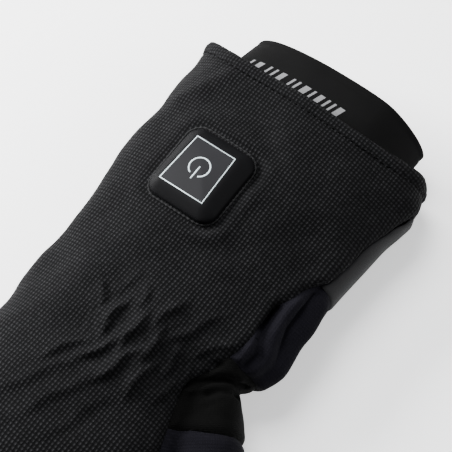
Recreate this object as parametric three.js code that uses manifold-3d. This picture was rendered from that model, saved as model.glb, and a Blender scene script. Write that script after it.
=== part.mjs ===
// A right-hand heated glove, lying palm down. The cuff is towards -Y, the fingertips towards +Y,
// the thumb towards -X and the back of the hand faces +Z. All lengths are in millimetres.
import * as THREE from 'three';
import { mergeVertices } from 'three/addons/utils/BufferGeometryUtils.js';
import Module from 'manifold-3d';

const wasm = await Module();
wasm.setup();

// The hand and the gauntlet
const bodyLength = 214;
const halfWidth = 54;
const bodyHeight = 41;
const wall = 2.2;
const edgeDip = 9;
const seamGap = 0.3;

// The fingers and the thumb
const fingerLength = 88;
const fingerWidth = 24.4;
const fingerHeight = 25;
const fingerArch = 3;
const thumbLength = 84;
const thumbWidth = 30;
const thumbHeight = 29;

// The elastic cuff band
const bandReach = 10;
const bandToButton = 4;
const bandHalfWidth = 40;
const bandWall = 1.6;
const bandFlare = 5;
const bandEase = 0.4;
const bandSideEase = 1.2;

// The tab on the thumb side
const tabLength = 50;
const tabThickness = 1.5;

// The power button
const buttonWidth = 28.4;
const buttonLength = 32.6;
const buttonHeight = 4.8;
const buttonCorner = 5.5;
const faceWidth = 18.8;
const faceLength = 23.2;
const faceCorner = 0.8;
const faceThickness = 0.8;
const flangeWidth = 3;
const flangeThickness = 1.2;
const frameWidth = 3;
const frameHeight = 1.3;
const frameClear = 1.2;
const flangeDrop = 2.4;
const stemMargin = 1;

// A crumb of cloth smaller than this, in cubic millimetres, falls off when the panels are cut
const crumbVolume = 5;

// The seams between the panels, as heights over the floor
const palmSeam = 7;
const sideSeam = 17;

// Sections of the body. along: share of bodyLength. thumb and ulnar: shares of halfWidth on each
// side of the centre line. top: share of bodyHeight.
const bodySections = [
  { along: 0.0, thumb: 1.0, ulnar: 1.02, top: 1.0 },
  { along: 0.095, thumb: 1.005, ulnar: 0.985, top: 1.0 },
  { along: 0.196, thumb: 0.985, ulnar: 1.0, top: 1.0 },
  { along: 0.318, thumb: 0.955, ulnar: 0.96, top: 0.985 },
  { along: 0.4, thumb: 0.97, ulnar: 0.94, top: 0.95 },
  { along: 0.467, thumb: 0.995, ulnar: 0.92, top: 0.915 },
  { along: 0.512, thumb: 0.91, ulnar: 0.905, top: 0.9 },
  { along: 0.545, thumb: 0.77, ulnar: 0.895, top: 0.895 },
  { along: 0.593, thumb: 0.7, ulnar: 0.885, top: 0.9 },
  { along: 0.66, thumb: 0.76, ulnar: 0.88, top: 0.93 },
  { along: 0.77, thumb: 0.86, ulnar: 0.895, top: 0.93 },
  { along: 0.89, thumb: 0.92, ulnar: 0.92, top: 0.84 },
  { along: 0.96, thumb: 0.91, ulnar: 0.9, top: 0.71 },
  { along: 1.0, thumb: 0.87, ulnar: 0.84, top: 0.59 },
  { along: 1.018, thumb: 0.78, ulnar: 0.74, top: 0.42 },
];

// Short gathers of the wrist elastic and the long soft folds that fan out of them. across: share
// of halfWidth. along and length: shares of bodyLength. width: share of halfWidth. lift: share of wall.
const gathers = [
  { across: 0.21, along: 0.555, length: 0.03, width: 0.055, lift: 0.75 },
  { across: 0.09, along: 0.545, length: 0.032, width: 0.055, lift: 0.85 },
  { across: -0.08, along: 0.552, length: 0.034, width: 0.055, lift: 0.95 },
  { across: -0.23, along: 0.555, length: 0.032, width: 0.055, lift: 0.9 },
  { across: -0.38, along: 0.56, length: 0.03, width: 0.05, lift: 0.75 },
  { across: 0.18, along: 0.627, length: 0.034, width: 0.055, lift: 0.8 },
  { across: 0.02, along: 0.62, length: 0.036, width: 0.055, lift: 0.9 },
  { across: -0.15, along: 0.62, length: 0.034, width: 0.055, lift: 0.9 },
  { across: -0.31, along: 0.613, length: 0.034, width: 0.05, lift: 0.85 },
  { across: -0.47, along: 0.622, length: 0.03, width: 0.05, lift: 0.7 },
  { across: 0.36, along: 0.68, length: 0.075, width: 0.1, lift: 0.35 },
  { across: 0.05, along: 0.7, length: 0.07, width: 0.09, lift: 0.35 },
  { across: -0.24, along: 0.69, length: 0.07, width: 0.09, lift: 0.35 },
];

// Soft ridges of the side gusset. start and end: shares of bodyLength. high and low: heights of the
// ridge's two ends, as shares of bodyHeight. width: share of bodyHeight. lift: share of wall.
const gussetFolds = [
  { start: 0.3, end: 0.5, high: 0.79, low: 0.74, width: 0.05, lift: 0.55 },
  { start: 0.29, end: 0.52, high: 0.62, low: 0.56, width: 0.055, lift: 0.6 },
  { start: 0.3, end: 0.51, high: 0.43, low: 0.38, width: 0.055, lift: 0.5 },
];

// Fingers. across: root's place as a share of halfWidth. splay: degrees towards the ulnar side.
// reach: share of fingerLength past the roots. girth: share of fingerWidth.
const fingers = [
  { across: -0.69, splay: -5, reach: 0.87, girth: 1.0 },
  { across: -0.232, splay: -1.3, reach: 1.0, girth: 1.0 },
  { across: 0.228, splay: 2.6, reach: 0.91, girth: 0.98 },
  { across: 0.665, splay: 7.5, reach: 0.68, girth: 0.9 },
];

// Sections of a finger. at: share of its length. girth: share of its width.
const fingerSections = [
  { at: 0.0, girth: 0.9 },
  { at: 0.12, girth: 0.98 },
  { at: 0.3, girth: 1.0 },
  { at: 0.5, girth: 0.96 },
  { at: 0.65, girth: 0.97 },
  { at: 0.82, girth: 0.93 },
  { at: 0.92, girth: 0.8 },
  { at: 0.975, girth: 0.55 },
  { at: 1.0, girth: 0.2 },
];

// The thumb's middle line from its root inside the palm. side and along: shares of thumbLength from
// the root. girth: share of thumbWidth.
const thumbSections = [
  { side: 0.0, along: 0.0, girth: 0.55 },
  { side: -0.09, along: 0.125, girth: 0.86 },
  { side: -0.179, along: 0.238, girth: 1.0 },
  { side: -0.305, along: 0.4, girth: 0.99 },
  { side: -0.45, along: 0.6, girth: 0.97 },
  { side: -0.565, along: 0.79, girth: 0.95 },
  { side: -0.63, along: 0.93, girth: 0.84 },
  { side: -0.665, along: 1.02, girth: 0.6 },
  { side: -0.68, along: 1.06, girth: 0.22 },
];
const thumbRoot = { across: -0.407, along: 0.505 };

// The knit back's edge on the thumb side, from the cuff to the index fingertip. across: share of
// halfWidth. along: share of bodyLength.
const backEdge = [
  { across: -1.06, along: -0.15 },
  { across: -1.035, along: 0.06 },
  { across: -0.99, along: 0.12 },
  { across: -0.87, along: 0.3 },
  { across: -0.78, along: 0.345 },
  { across: -0.735, along: 0.385 },
  { across: -0.72, along: 0.44 },
  { across: -0.685, along: 0.5 },
  { across: -0.6, along: 0.56 },
  { across: -0.55, along: 0.6 },
  { across: -0.61, along: 0.645 },
  { across: -0.69, along: 0.71 },
  { across: -0.8, along: 0.75 },
  { across: -0.88, along: 0.776 },
  { across: -0.935, along: 0.818 },
  { across: -0.99, along: 0.855 },
  { across: -1.045, along: 0.9 },
  { across: -1.13, along: 0.96 },
  { across: -1.195, along: 1.9 },
];

// The seam across the thumb, from the knit's edge to the thumb's outer side
const thumbSeam = [
  { across: -0.67, along: 0.667 },
  { across: -0.74, along: 0.652 },
  { across: -0.85, along: 0.638 },
  { across: -1.04, along: 0.608 },
  { across: -1.3, along: 0.56 },
];

// Counts of facets
const bodySides = 45;
const liningSides = 28;
const liningStep = 18;
const plainStep = 7;
const gatherStep = 4;
const fingerSides = 12;
const fingerLiningSides = 10;
const thumbSides = 18;

const underShare = 0.3;
const middleHeight = 0.47;
const restDepth = 1.2;
const topPower = 2.35;
const underPower = 2.9;

// The value of a column at a place between the rows, on a smooth curve through them
function column(rows, place, key, at) {
  const last = rows.length - 1;
  const row = Math.min(Math.max(rows.findIndex((entry) => entry[place] > at) - 1, 0), last);
  const start = at >= rows[last][place] ? last - 1 : row;
  const slope = (index) => {
    const before = rows[Math.max(index - 1, 0)];
    const after = rows[Math.min(index + 1, last)];
    return (after[key] - before[key]) / (after[place] - before[place]);
  };
  const low = rows[start];
  const high = rows[start + 1];
  const span = high[place] - low[place];
  const t = Math.min(Math.max((at - low[place]) / span, 0), 1);
  const rise = t * t * (3 - 2 * t);
  const enter = (t ** 3 - 2 * t * t + t) * span * slope(start);
  const leave = (t ** 3 - t * t) * span * slope(start + 1);
  return low[key] + (high[key] - low[key]) * rise + enter + leave;
}

const bump = (distance, width) => Math.exp(-0.5 * (distance / width) ** 2);
const power = (value, exponent) => Math.sign(value) * Math.abs(value) ** exponent;

// The lift of the cloth over its smooth form, from the gathers on the back and the gusset's ridges
function clothLift(x, along, z) {
  const back = THREE.MathUtils.smoothstep(z, 0.6 * bodyHeight, 0.8 * bodyHeight);
  let lift = 0;
  for (const fold of gathers) {
    const off = bump(x - fold.across * halfWidth, fold.width * halfWidth);
    lift += back * fold.lift * wall * off * bump(along - fold.along * bodyLength, fold.length * bodyLength);
  }
  if (x < 0) {
    for (const fold of gussetFolds) {
      const t = (along / bodyLength - fold.start) / (fold.end - fold.start);
      const ends = THREE.MathUtils.smoothstep(t, -0.1, 0.15) * (1 - THREE.MathUtils.smoothstep(t, 0.85, 1.1));
      const middle = THREE.MathUtils.lerp(fold.high, fold.low, t) * bodyHeight;
      lift += ends * fold.lift * wall * bump(z - middle, fold.width * bodyHeight);
    }
  }
  return lift;
}

// One section of the body, as points that are evenly spaced along its outline, but further apart
// on the flat underside. inset draws the outline in by a distance, for the hollow.
function bodyRing(along, sides, inset, lifted, under = underShare) {
  const share = along / bodyLength;
  const thumb = column(bodySections, 'along', 'thumb', share) * halfWidth;
  const ulnar = column(bodySections, 'along', 'ulnar', share) * halfWidth;
  const top = column(bodySections, 'along', 'top', share) * bodyHeight;
  const middle = middleHeight * top;
  const outline = [];
  const fine = 8 * sides;
  for (let i = 0; i <= fine; i += 1) {
    const turn = (2 * Math.PI * i) / fine;
    const half = Math.cos(turn) > 0 ? ulnar : thumb;
    const above = Math.sin(turn) > 0;
    const exponent = 2 / (above ? topPower : underPower);
    const tall = above ? top - middle : middle + restDepth;
    const x = (half - inset) * power(Math.cos(turn), exponent);
    const z = middle + (tall - inset) * power(Math.sin(turn), exponent);
    outline.push(new THREE.Vector2(x, Math.max(z, inset)));
  }
  const steps = [0];
  for (let i = 1; i <= fine; i += 1) {
    const flat = outline[i].y < palmSeam && Math.abs(outline[i].x) < 0.85 * thumb;
    const run = outline[i].distanceTo(outline[i - 1]);
    steps.push(steps[i - 1] + (flat ? under : 1) * run);
  }
  const points = [];
  let next = 0;
  for (let i = 0; i < sides; i += 1) {
    const goal = (steps[fine] * i) / sides;
    while (steps[next + 1] < goal) next += 1;
    const t = (goal - steps[next]) / (steps[next + 1] - steps[next]);
    const point = outline[next].clone().lerp(outline[next + 1], t);
    const away = new THREE.Vector2(
      outline[next + 1].y - outline[next].y,
      outline[next].x - outline[next + 1].x,
    ).normalize();
    const lift = lifted ? clothLift(point.x, along, point.y) : 0;
    point.addScaledVector(away, lift);
    const outward = Math.abs(point.x) / (point.x > 0 ? ulnar : thumb);
    const reach = Math.max(0, 1 - along / (4 * edgeDip));
    const y = along + edgeDip * (1 - Math.min(outward, 1) ** 5) * reach;
    points.push(new THREE.Vector3(point.x, y, Math.max(point.y, inset)));
  }
  return points;
}

// One round section of a finger, thumb or band across a heading
function roundRing(centre, heading, half, tall, sides, floor) {
  const across = new THREE.Vector3(heading.y, -heading.x, 0).normalize();
  const points = [];
  for (let i = 0; i < sides; i += 1) {
    const turn = (2 * Math.PI * i) / sides;
    const point = centre.clone().addScaledVector(across, half * power(Math.cos(turn), 2 / 2.3));
    point.z = Math.max(centre.z + tall * power(Math.sin(turn), 2 / 2.3), floor);
    points.push(point);
  }
  return points;
}

// A closed skin over a row of rings, with a fan at each end
function loft(rings) {
  const sides = rings[0].length;
  const positions = rings.flat().flatMap((point) => point.toArray());
  const index = [];
  for (let r = 0; r < rings.length - 1; r += 1) {
    for (let i = 0; i < sides; i += 1) {
      const a = r * sides + i;
      const b = r * sides + ((i + 1) % sides);
      index.push(a, a + sides, b, b, a + sides, b + sides);
    }
  }
  for (const end of [0, rings.length - 1]) {
    const centre = rings[end].reduce((sum, point) => sum.add(point), new THREE.Vector3());
    const hub = positions.length / 3;
    positions.push(...centre.divideScalar(sides).toArray());
    for (let i = 0; i < sides; i += 1) {
      const a = end * sides + i;
      const b = end * sides + ((i + 1) % sides);
      index.push(...(end === 0 ? [hub, a, b] : [hub, b, a]));
    }
  }
  return facingOut(positions, index);
}

// A closed skin round a loop of rings that ends where it starts
function closedLoop(rings) {
  const sides = rings[0].length;
  const positions = rings.flat().flatMap((point) => point.toArray());
  const index = [];
  for (let r = 0; r < rings.length; r += 1) {
    for (let i = 0; i < sides; i += 1) {
      const a = r * sides + i;
      const b = r * sides + ((i + 1) % sides);
      const c = ((r + 1) % rings.length) * sides + i;
      const d = ((r + 1) % rings.length) * sides + ((i + 1) % sides);
      index.push(a, c, b, b, c, d);
    }
  }
  return facingOut(positions, index);
}

// A closed sheet between two grids of points, each a list of rows
function thickSheet(outer, inner) {
  const columns = outer[0].length;
  const rows = outer.length;
  const positions = [outer, inner].flat(2).flatMap((point) => point.toArray());
  const at = (r, i, layer) => layer * rows * columns + r * columns + i;
  const index = [];
  for (let r = 0; r < rows - 1; r += 1) {
    for (let i = 0; i < columns - 1; i += 1) {
      for (const [layer, flip] of [[0, false], [1, true]]) {
        const [a, b, c, d] = [at(r, i, layer), at(r, i + 1, layer), at(r + 1, i + 1, layer), at(r + 1, i, layer)];
        index.push(...(flip ? [a, c, b, a, d, c] : [a, b, c, a, c, d]));
      }
    }
  }
  const rim = [];
  for (let i = 0; i < columns - 1; i += 1) rim.push([0, i]);
  for (let r = 0; r < rows - 1; r += 1) rim.push([r, columns - 1]);
  for (let i = columns - 1; i > 0; i -= 1) rim.push([rows - 1, i]);
  for (let r = rows - 1; r > 0; r -= 1) rim.push([r, 0]);
  rim.forEach(([r, i], step) => {
    const [nextR, nextI] = rim[(step + 1) % rim.length];
    const [a, b, c, d] = [at(r, i, 0), at(nextR, nextI, 0), at(nextR, nextI, 1), at(r, i, 1)];
    index.push(a, c, b, a, d, c);
  });
  return facingOut(positions, index);
}

function facingOut(positions, index) {
  const corner = (i) => new THREE.Vector3().fromArray(positions, 3 * index[i]);
  let volume = 0;
  for (let i = 0; i < index.length; i += 3) {
    volume += corner(i).dot(corner(i + 1).cross(corner(i + 2)));
  }
  const geometry = new THREE.BufferGeometry();
  geometry.setAttribute('position', new THREE.Float32BufferAttribute(positions, 3));
  geometry.setIndex(volume > 0 ? index : index.reverse());
  return geometry;
}

function solidOf(geometry) {
  const bare = geometry.clone();
  bare.deleteAttribute('normal');
  bare.deleteAttribute('uv');
  const merged = mergeVertices(bare, 1e-4);
  const vertProperties = new Float32Array(merged.attributes.position.array);
  const triVerts = new Uint32Array(merged.index.array);
  return new wasm.Manifold(new wasm.Mesh({ numProp: 3, vertProperties, triVerts }));
}

function geometryOf(solid) {
  const mesh = solid.getMesh();
  const geometry = new THREE.BufferGeometry();
  geometry.setAttribute('position', new THREE.BufferAttribute(mesh.vertProperties, 3));
  geometry.setIndex(new THREE.BufferAttribute(mesh.triVerts, 1));
  return geometry;
}

// The mesh without the crumbs that a cut can leave at a corner where several seams meet
function withoutCrumbs(geometry) {
  const index = geometry.index.array;
  const positions = geometry.attributes.position;
  const owner = Array.from({ length: positions.count }, (unused, i) => i);
  const rootOf = (i) => {
    let root = i;
    while (owner[root] !== root) root = owner[root];
    owner[i] = root;
    return root;
  };
  for (let i = 0; i < index.length; i += 3) {
    owner[rootOf(index[i + 1])] = rootOf(index[i]);
    owner[rootOf(index[i + 2])] = rootOf(index[i]);
  }
  const corner = (i) => new THREE.Vector3().fromBufferAttribute(positions, index[i]);
  const volumes = new Map();
  for (let i = 0; i < index.length; i += 3) {
    const root = rootOf(index[i]);
    const share = corner(i).dot(corner(i + 1).cross(corner(i + 2))) / 6;
    volumes.set(root, (volumes.get(root) ?? 0) + share);
  }
  const kept = Array.from(index).filter((unused, i) => volumes.get(rootOf(index[i])) > crumbVolume);
  geometry.setIndex(kept);
  return mergeVertices(geometry.toNonIndexed(), 1e-5);
}

// An upright prism over an outline of [x, y] corners
function prism(corners, low, high) {
  const shape = new THREE.Shape(corners.map(([x, y]) => new THREE.Vector2(x, y)));
  const geometry = new THREE.ExtrudeGeometry(shape, { depth: high - low, bevelEnabled: false });
  return solidOf(geometry.translate(0, 0, low));
}

// Even stops from a start up to an end, without the end
function stopsBetween(start, end, step) {
  const count = Math.max(1, Math.round((end - start) / step));
  return Array.from({ length: count }, (unused, i) => start + ((end - start) * i) / count);
}

const gatherStart = 0.5 * bodyLength;
const gatherEnd = 0.69 * bodyLength;

// The body as a row of rings, with the hollow's first ring well outside the cuff
function bodySkin(inset) {
  const outer = inset === 0;
  const sides = outer ? bodySides : liningSides;
  const end = bodySections.at(-1).along * bodyLength - inset;
  const stops = outer
    ? [...stopsBetween(0, gatherStart, plainStep), ...stopsBetween(gatherStart, gatherEnd, gatherStep),
      ...stopsBetween(gatherEnd, end, plainStep), end]
    : [...stopsBetween(0, end, liningStep), end];
  const rings = stops.map((along) => bodyRing(along, sides, inset, outer));
  if (!outer) {
    const mouth = rings[0].map((point) => new THREE.Vector3(point.x, -2 * edgeDip, point.z));
    rings.unshift(mouth);
  }
  return solidOf(loft(rings));
}

function fingerSkin(finger, inset) {
  const angle = THREE.MathUtils.degToRad(finger.splay);
  const heading = new THREE.Vector3(Math.sin(angle), Math.cos(angle), 0);
  const rootAlong = 0.87 * bodyLength;
  const length = bodyLength - rootAlong + finger.reach * fingerLength - inset;
  const root = new THREE.Vector3(finger.across * halfWidth, rootAlong, 0);
  const rings = fingerSections.map((section) => {
    const centre = root.clone().addScaledVector(heading, section.at * length);
    const tall = (section.girth * fingerHeight) / 2;
    centre.z = fingerHeight / 2 + fingerArch * Math.sin(Math.PI * section.at);
    const half = (section.girth * finger.girth * fingerWidth) / 2;
    const taper = Math.min(inset, 0.6 * half);
    const sides = inset === 0 ? fingerSides : fingerLiningSides;
    return roundRing(centre, heading, half - taper, tall - taper, sides, inset);
  });
  return solidOf(loft(rings));
}

const rootOfThumb = new THREE.Vector3(thumbRoot.across * halfWidth, thumbRoot.along * bodyLength, 0);
const thumbPoint = ({ side, along }) => new THREE.Vector3(
  rootOfThumb.x + side * thumbLength,
  rootOfThumb.y + along * thumbLength,
  thumbHeight / 2,
);

function thumbSkin(inset) {
  const line = thumbSections.map(thumbPoint);
  const rings = thumbSections.map((section, i) => {
    const before = line[Math.max(i - 1, 0)];
    const after = line[Math.min(i + 1, line.length - 1)];
    const heading = after.clone().sub(before).normalize();
    const half = (section.girth * thumbWidth) / 2;
    const tall = (section.girth * thumbHeight) / 2;
    const taper = Math.min(inset, 0.6 * half);
    const centre = line[i].clone();
    if (i === thumbSections.length - 1) centre.addScaledVector(heading, -inset);
    return roundRing(centre, heading, half - taper, tall - taper, thumbSides, inset);
  });
  return solidOf(loft(rings));
}

function handSkin(inset) {
  return fingers.reduce((hand, finger) => hand.add(fingerSkin(finger, inset)), bodySkin(inset))
    .add(thumbSkin(inset));
}

const shell = handSkin(0).subtract(handSkin(wall));

// Upright blocks that part the shell into its panels, each drawn back by half the seam's gap
const half = seamGap / 2;
const ceiling = 2 * bodyHeight;
const far = 4 * halfWidth;
const cuffEnd = -2 * edgeDip;
const tipEnd = backEdge.at(-1).along * bodyLength;
const edgePoints = backEdge.map(({ across, along }) => [across * halfWidth, along * bodyLength]);

// The back's edge line moved sideways by a distance, towards the ulnar side when positive
function shiftedEdge(distance) {
  return edgePoints.map(([x, y], i) => {
    const [beforeX, beforeY] = edgePoints[Math.max(i - 1, 0)];
    const [afterX, afterY] = edgePoints[Math.min(i + 1, edgePoints.length - 1)];
    const run = Math.hypot(afterX - beforeX, afterY - beforeY);
    return [x + (distance * (afterY - beforeY)) / run, y - (distance * (afterX - beforeX)) / run];
  });
}

// The part of the moved edge line between two places along the body
function edgeBetween(distance, start, end) {
  return shiftedEdge(distance).filter((point, i) => backEdge[i].along >= start && backEdge[i].along <= end);
}

const gussetEnd = 0.515 * bodyLength;
const seamStart = thumbSeam[0].along;
const webStart = 0.75;
const ulnarStripStart = 0.93 * bodyLength;
const seamPoints = thumbSeam.map(({ across, along }) => [across * halfWidth, along * bodyLength]);

const palmPanel = shell.intersect(prism(
  [[-far, cuffEnd], [far, cuffEnd], [far, tipEnd], [-far, tipEnd]],
  -1,
  palmSeam - half,
));

const overEdge = prism([...shiftedEdge(half), [far, tipEnd], [far, cuffEnd]], sideSeam + half, ceiling);
const ulnarFlank = prism(
  [[0, cuffEnd], [far, cuffEnd], [far, ulnarStripStart - half], [0, ulnarStripStart - half]],
  palmSeam + half,
  sideSeam + 2 * half,
);
const backPanel = shell.intersect(overEdge.add(ulnarFlank));

const outsideEdge = prism([...shiftedEdge(-half), [-far, tipEnd], [-far, cuffEnd]], sideSeam - half, ceiling);
const underEdge = prism(
  [[-far, cuffEnd], [-seamGap, cuffEnd], [-seamGap, tipEnd], [-far, tipEnd]],
  palmSeam + half,
  sideSeam - half,
);
const thumbSide = shell.intersect(outsideEdge.add(underEdge));
const gussetBlock = prism(
  [[-far, cuffEnd], [0, cuffEnd], [0, gussetEnd - half], [-far, gussetEnd - half]],
  0,
  ceiling,
);
const sideGusset = thumbSide.intersect(gussetBlock);

const coverBlock = prism([
  ...seamPoints.map(([x, y]) => [x, y + half]),
  [-far, seamPoints.at(-1)[1] + half],
  [-far, tipEnd],
  ...edgeBetween(-half, seamStart + 0.01, 2).reverse(),
], 0, ceiling);
const thumbCover = thumbSide.intersect(coverBlock);

const baseBlock = prism([
  [-far, gussetEnd + half],
  [0, gussetEnd + half],
  [0, 0.56 * bodyLength],
  ...edgeBetween(0, 0.62, 0.65),
  ...seamPoints.map(([x, y]) => [x, y - half]),
  [-far, seamPoints.at(-1)[1] - half],
], 0, ceiling);
const thumbBase = thumbSide.intersect(baseBlock);

const stripBlock = prism([
  [0, webStart * bodyLength],
  ...edgeBetween(half, webStart, 2),
  [far, tipEnd],
  [far, ulnarStripStart + half],
  [0, ulnarStripStart + half],
], palmSeam + half, sideSeam - half);
const sideStrip = shell.intersect(stripBlock);

// A point on the cloth at a height over the floor, on the thumb side when side is -1
function clothPoint(along, turn, rise) {
  const fineSides = 256;
  const ring = bodyRing(along, fineSides, 0, true, 1);
  const index = Math.round(turn * fineSides) % fineSides;
  const point = ring[index];
  const next = ring[(index + 1) % fineSides];
  const before = ring[(index + fineSides - 1) % fineSides];
  const away = new THREE.Vector3(next.z - before.z, 0, before.x - next.x).normalize();
  return point.clone().addScaledVector(away, rise);
}

const buttonAlong = 0.278 * bodyLength;

// The tab wraps the thumb side as a curved sheet of even thickness
function tabGeometry() {
  const rows = 7;
  const turns = 10;
  const firstTurn = 0.413;
  const lastTurn = 0.575;
  const start = 0.09 * bodyLength;
  const face = (rise) => Array.from({ length: rows + 1 }, (unused, r) => (
    Array.from({ length: turns + 1 }, (none, i) => clothPoint(
      start + (tabLength * r) / rows,
      firstTurn + ((lastTurn - firstTurn) * i) / turns,
      rise,
    ))
  ));
  return thickSheet(face(seamGap + 0.1 + tabThickness), face(seamGap + 0.1));
}

// The elastic band: a flattened tube that widens inwards to where it is sewn to the cuff
function bandGeometry() {
  const lining = wall + seamGap;
  const bandDepth = buttonAlong - buttonLength / 2 - flangeWidth - bandToButton;
  const bottom = lining;
  const top = bodyHeight - lining - bandEase;
  const stations = [
    { along: -bandReach, half: bandHalfWidth },
    { along: 0.5 * edgeDip, half: bandHalfWidth + 0.3 * bandFlare },
    { along: 0.4 * bandDepth, half: bandHalfWidth + bandFlare },
    { along: bandDepth, half: halfWidth - lining - bandSideEase },
  ];
  const ringAt = ({ along, half: reach }, inset) => roundRing(
    new THREE.Vector3(0, along, (top + bottom) / 2),
    new THREE.Vector3(0, 1, 0),
    reach - inset,
    (top - bottom) / 2 - inset,
    28,
    bottom,
  );
  const outer = stations.map((station) => ringAt(station, 0));
  const inner = stations.map((station) => ringAt(station, bandWall));
  return closedLoop([...outer, ...inner.reverse()]);
}

// Placing of the button: its seat on the back and the way it leans
const buttonTurn = 0.186;
const seat = clothPoint(buttonAlong, buttonTurn, 0);
const leanFrom = clothPoint(buttonAlong, buttonTurn - 0.03, 0);
const leanTo = clothPoint(buttonAlong, buttonTurn + 0.03, 0);
const lean = Math.atan2(leanFrom.z - leanTo.z, leanFrom.x - leanTo.x);

function roundedOutline(width, length, corner) {
  const x = width / 2;
  const y = length / 2;
  const r = Math.min(corner, x, y);
  const outline = new THREE.Shape();
  outline.moveTo(x - r, -y);
  outline.absarc(x - r, -y + r, r, -Math.PI / 2, 0);
  outline.absarc(x - r, y - r, r, 0, Math.PI / 2);
  outline.absarc(-x + r, y - r, r, Math.PI / 2, Math.PI);
  outline.absarc(-x + r, -y + r, r, Math.PI, 1.5 * Math.PI);
  return outline;
}

// A flat block with rounded corners, standing between two heights
function pad(width, length, corner, low, high) {
  const outline = roundedOutline(width, length, corner);
  const geometry = new THREE.ExtrudeGeometry(outline, { depth: high - low, bevelEnabled: false, curveSegments: 3 });
  return geometry.translate(0, 0, low);
}

// The domed cushion: its sides lean in from the skirt to the flat top
function cushionSolid() {
  const steps = [
    { slope: 0, rise: -wall - stemMargin },
    { slope: 0, rise: 0.3 * buttonHeight },
    { slope: 0.13, rise: 0.52 * buttonHeight },
    { slope: 0.5, rise: 0.84 * buttonHeight },
    { slope: 0.9, rise: buttonHeight },
  ];
  const slopeWidth = Math.min(buttonWidth - faceWidth, buttonLength - faceLength) / 2 - seamGap;
  const rings = steps.map(({ slope, rise }) => {
    const inset = slope * slopeWidth;
    const corner = THREE.MathUtils.lerp(buttonCorner, faceCorner + seamGap, slope);
    const outline = roundedOutline(buttonWidth - 2 * inset, buttonLength - 2 * inset, corner);
    return outline.getPoints(3).map((point) => new THREE.Vector3(point.x, point.y, rise));
  });
  const spread = buttonWidth + 2 * flangeWidth;
  const sink = -wall - flangeDrop;
  const flange = pad(spread, buttonLength + 2 * flangeWidth, buttonCorner, sink - flangeThickness, sink);
  const stem = pad(
    buttonWidth - 2 * stemMargin,
    buttonLength - 2 * stemMargin,
    buttonCorner,
    sink - 0.1,
    0,
  );
  const pocket = pad(
    faceWidth + 2 * seamGap,
    faceLength + 2 * seamGap,
    faceCorner,
    buttonHeight - faceThickness,
    2 * buttonHeight,
  );
  return solidOf(loft(rings.map(unrepeated))).add(solidOf(flange)).add(solidOf(stem)).subtract(solidOf(pocket));
}

// An outline without the point that repeats the one before it
function unrepeated(points) {
  return points.filter((point, i) => {
    const before = points[(i + points.length - 1) % points.length];
    return point.distanceTo(before) > 1e-6;
  });
}

function seated(solid) {
  const degrees = THREE.MathUtils.radToDeg(lean);
  return solid.rotate([0, -degrees, 0]).translate([seat.x, seat.y, seat.z]);
}

// The stitched frame round the button follows the cloth that it is raised from
function frameGeometry() {
  const path = unrepeated(roundedOutline(
    buttonWidth + 2 * frameClear + frameWidth,
    buttonLength + 2 * frameClear + frameWidth,
    buttonCorner + frameClear,
  ).getPoints(3).map((point) => new THREE.Vector3(point.x, point.y, 0)));
  const girth = bodyRing(buttonAlong, 256, 0, false, 1)
    .reduce((sum, point, i, ring) => sum + point.distanceTo(ring[(i + 1) % ring.length]), 0);
  const place = (point, rise) => clothPoint(
    buttonAlong + point.y,
    buttonTurn - point.x / girth,
    rise,
  );
  const rings = path.map((point, i) => {
    const before = path[(i + path.length - 1) % path.length];
    const after = path[(i + 1) % path.length];
    const run = after.clone().sub(before).normalize();
    const out = new THREE.Vector3(run.y, -run.x, 0).multiplyScalar(frameWidth / 2);
    const inside = point.clone().sub(out);
    const outside = point.clone().add(out);
    const crown = seamGap + 0.1 + frameHeight;
    return [place(outside, seamGap + 0.1), place(outside, crown - 0.5), place(point, crown),
      place(inside, crown - 0.5), place(inside, seamGap + 0.1)];
  });
  return closedLoop(rings);
}

const buttonHole = seated(solidOf(pad(
  buttonWidth + 2 * seamGap,
  buttonLength + 2 * seamGap,
  buttonCorner,
  -3 * wall,
  2 * buttonHeight,
)));
const buttonFace = solidOf(pad(
  faceWidth,
  faceLength,
  faceCorner,
  buttonHeight - faceThickness + 0.05,
  buttonHeight + 0.05,
));

// The finishes
const knit = { color: 0x1c1c1e, roughness: 0.95 };
const fleece = { color: 0x161622, roughness: 0.9 };
const stretch = { color: 0x121212, roughness: 0.85 };
const webbing = { color: 0x1e1e20, roughness: 0.6 };
const tape = { color: 0x3c3c3e, roughness: 0.5 };
const silicone = { color: 0x262628, roughness: 0.45 };
const facePlate = { color: 0x4b4b4e, roughness: 0.5 };

const glove = new THREE.Group();

function place(name, geometry, finish) {
  const mesh = new THREE.Mesh(geometry, new THREE.MeshStandardMaterial({ metalness: 0, ...finish }));
  mesh.name = name;
  glove.add(mesh);
}

place('back_panel', withoutCrumbs(geometryOf(backPanel.subtract(buttonHole))), knit);
place('palm_panel', withoutCrumbs(geometryOf(palmPanel)), fleece);
place('side_gusset', withoutCrumbs(geometryOf(sideGusset)), fleece);
place('finger_side_strip', withoutCrumbs(geometryOf(sideStrip)), stretch);
place('thumb_base', withoutCrumbs(geometryOf(thumbBase)), stretch);
place('thumb_cover', withoutCrumbs(geometryOf(thumbCover)), fleece);
place('cuff_band', bandGeometry(), webbing);
place('cuff_tab', tabGeometry(), tape);
place('button_housing', geometryOf(seated(cushionSolid())), silicone);
place('button_face', geometryOf(seated(buttonFace)), facePlate);
place('button_frame', frameGeometry(), knit);

// The origin stands on the floor under the middle of the whole glove
const box = new THREE.Box3().setFromObject(glove);
const centre = box.getCenter(new THREE.Vector3());
glove.position.set(-centre.x, -centre.y, -box.min.z);

const part = new THREE.Group();
part.add(glove);

export default part;
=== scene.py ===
"""A right-hand heated glove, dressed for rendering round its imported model. Lengths are in metres."""

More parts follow.
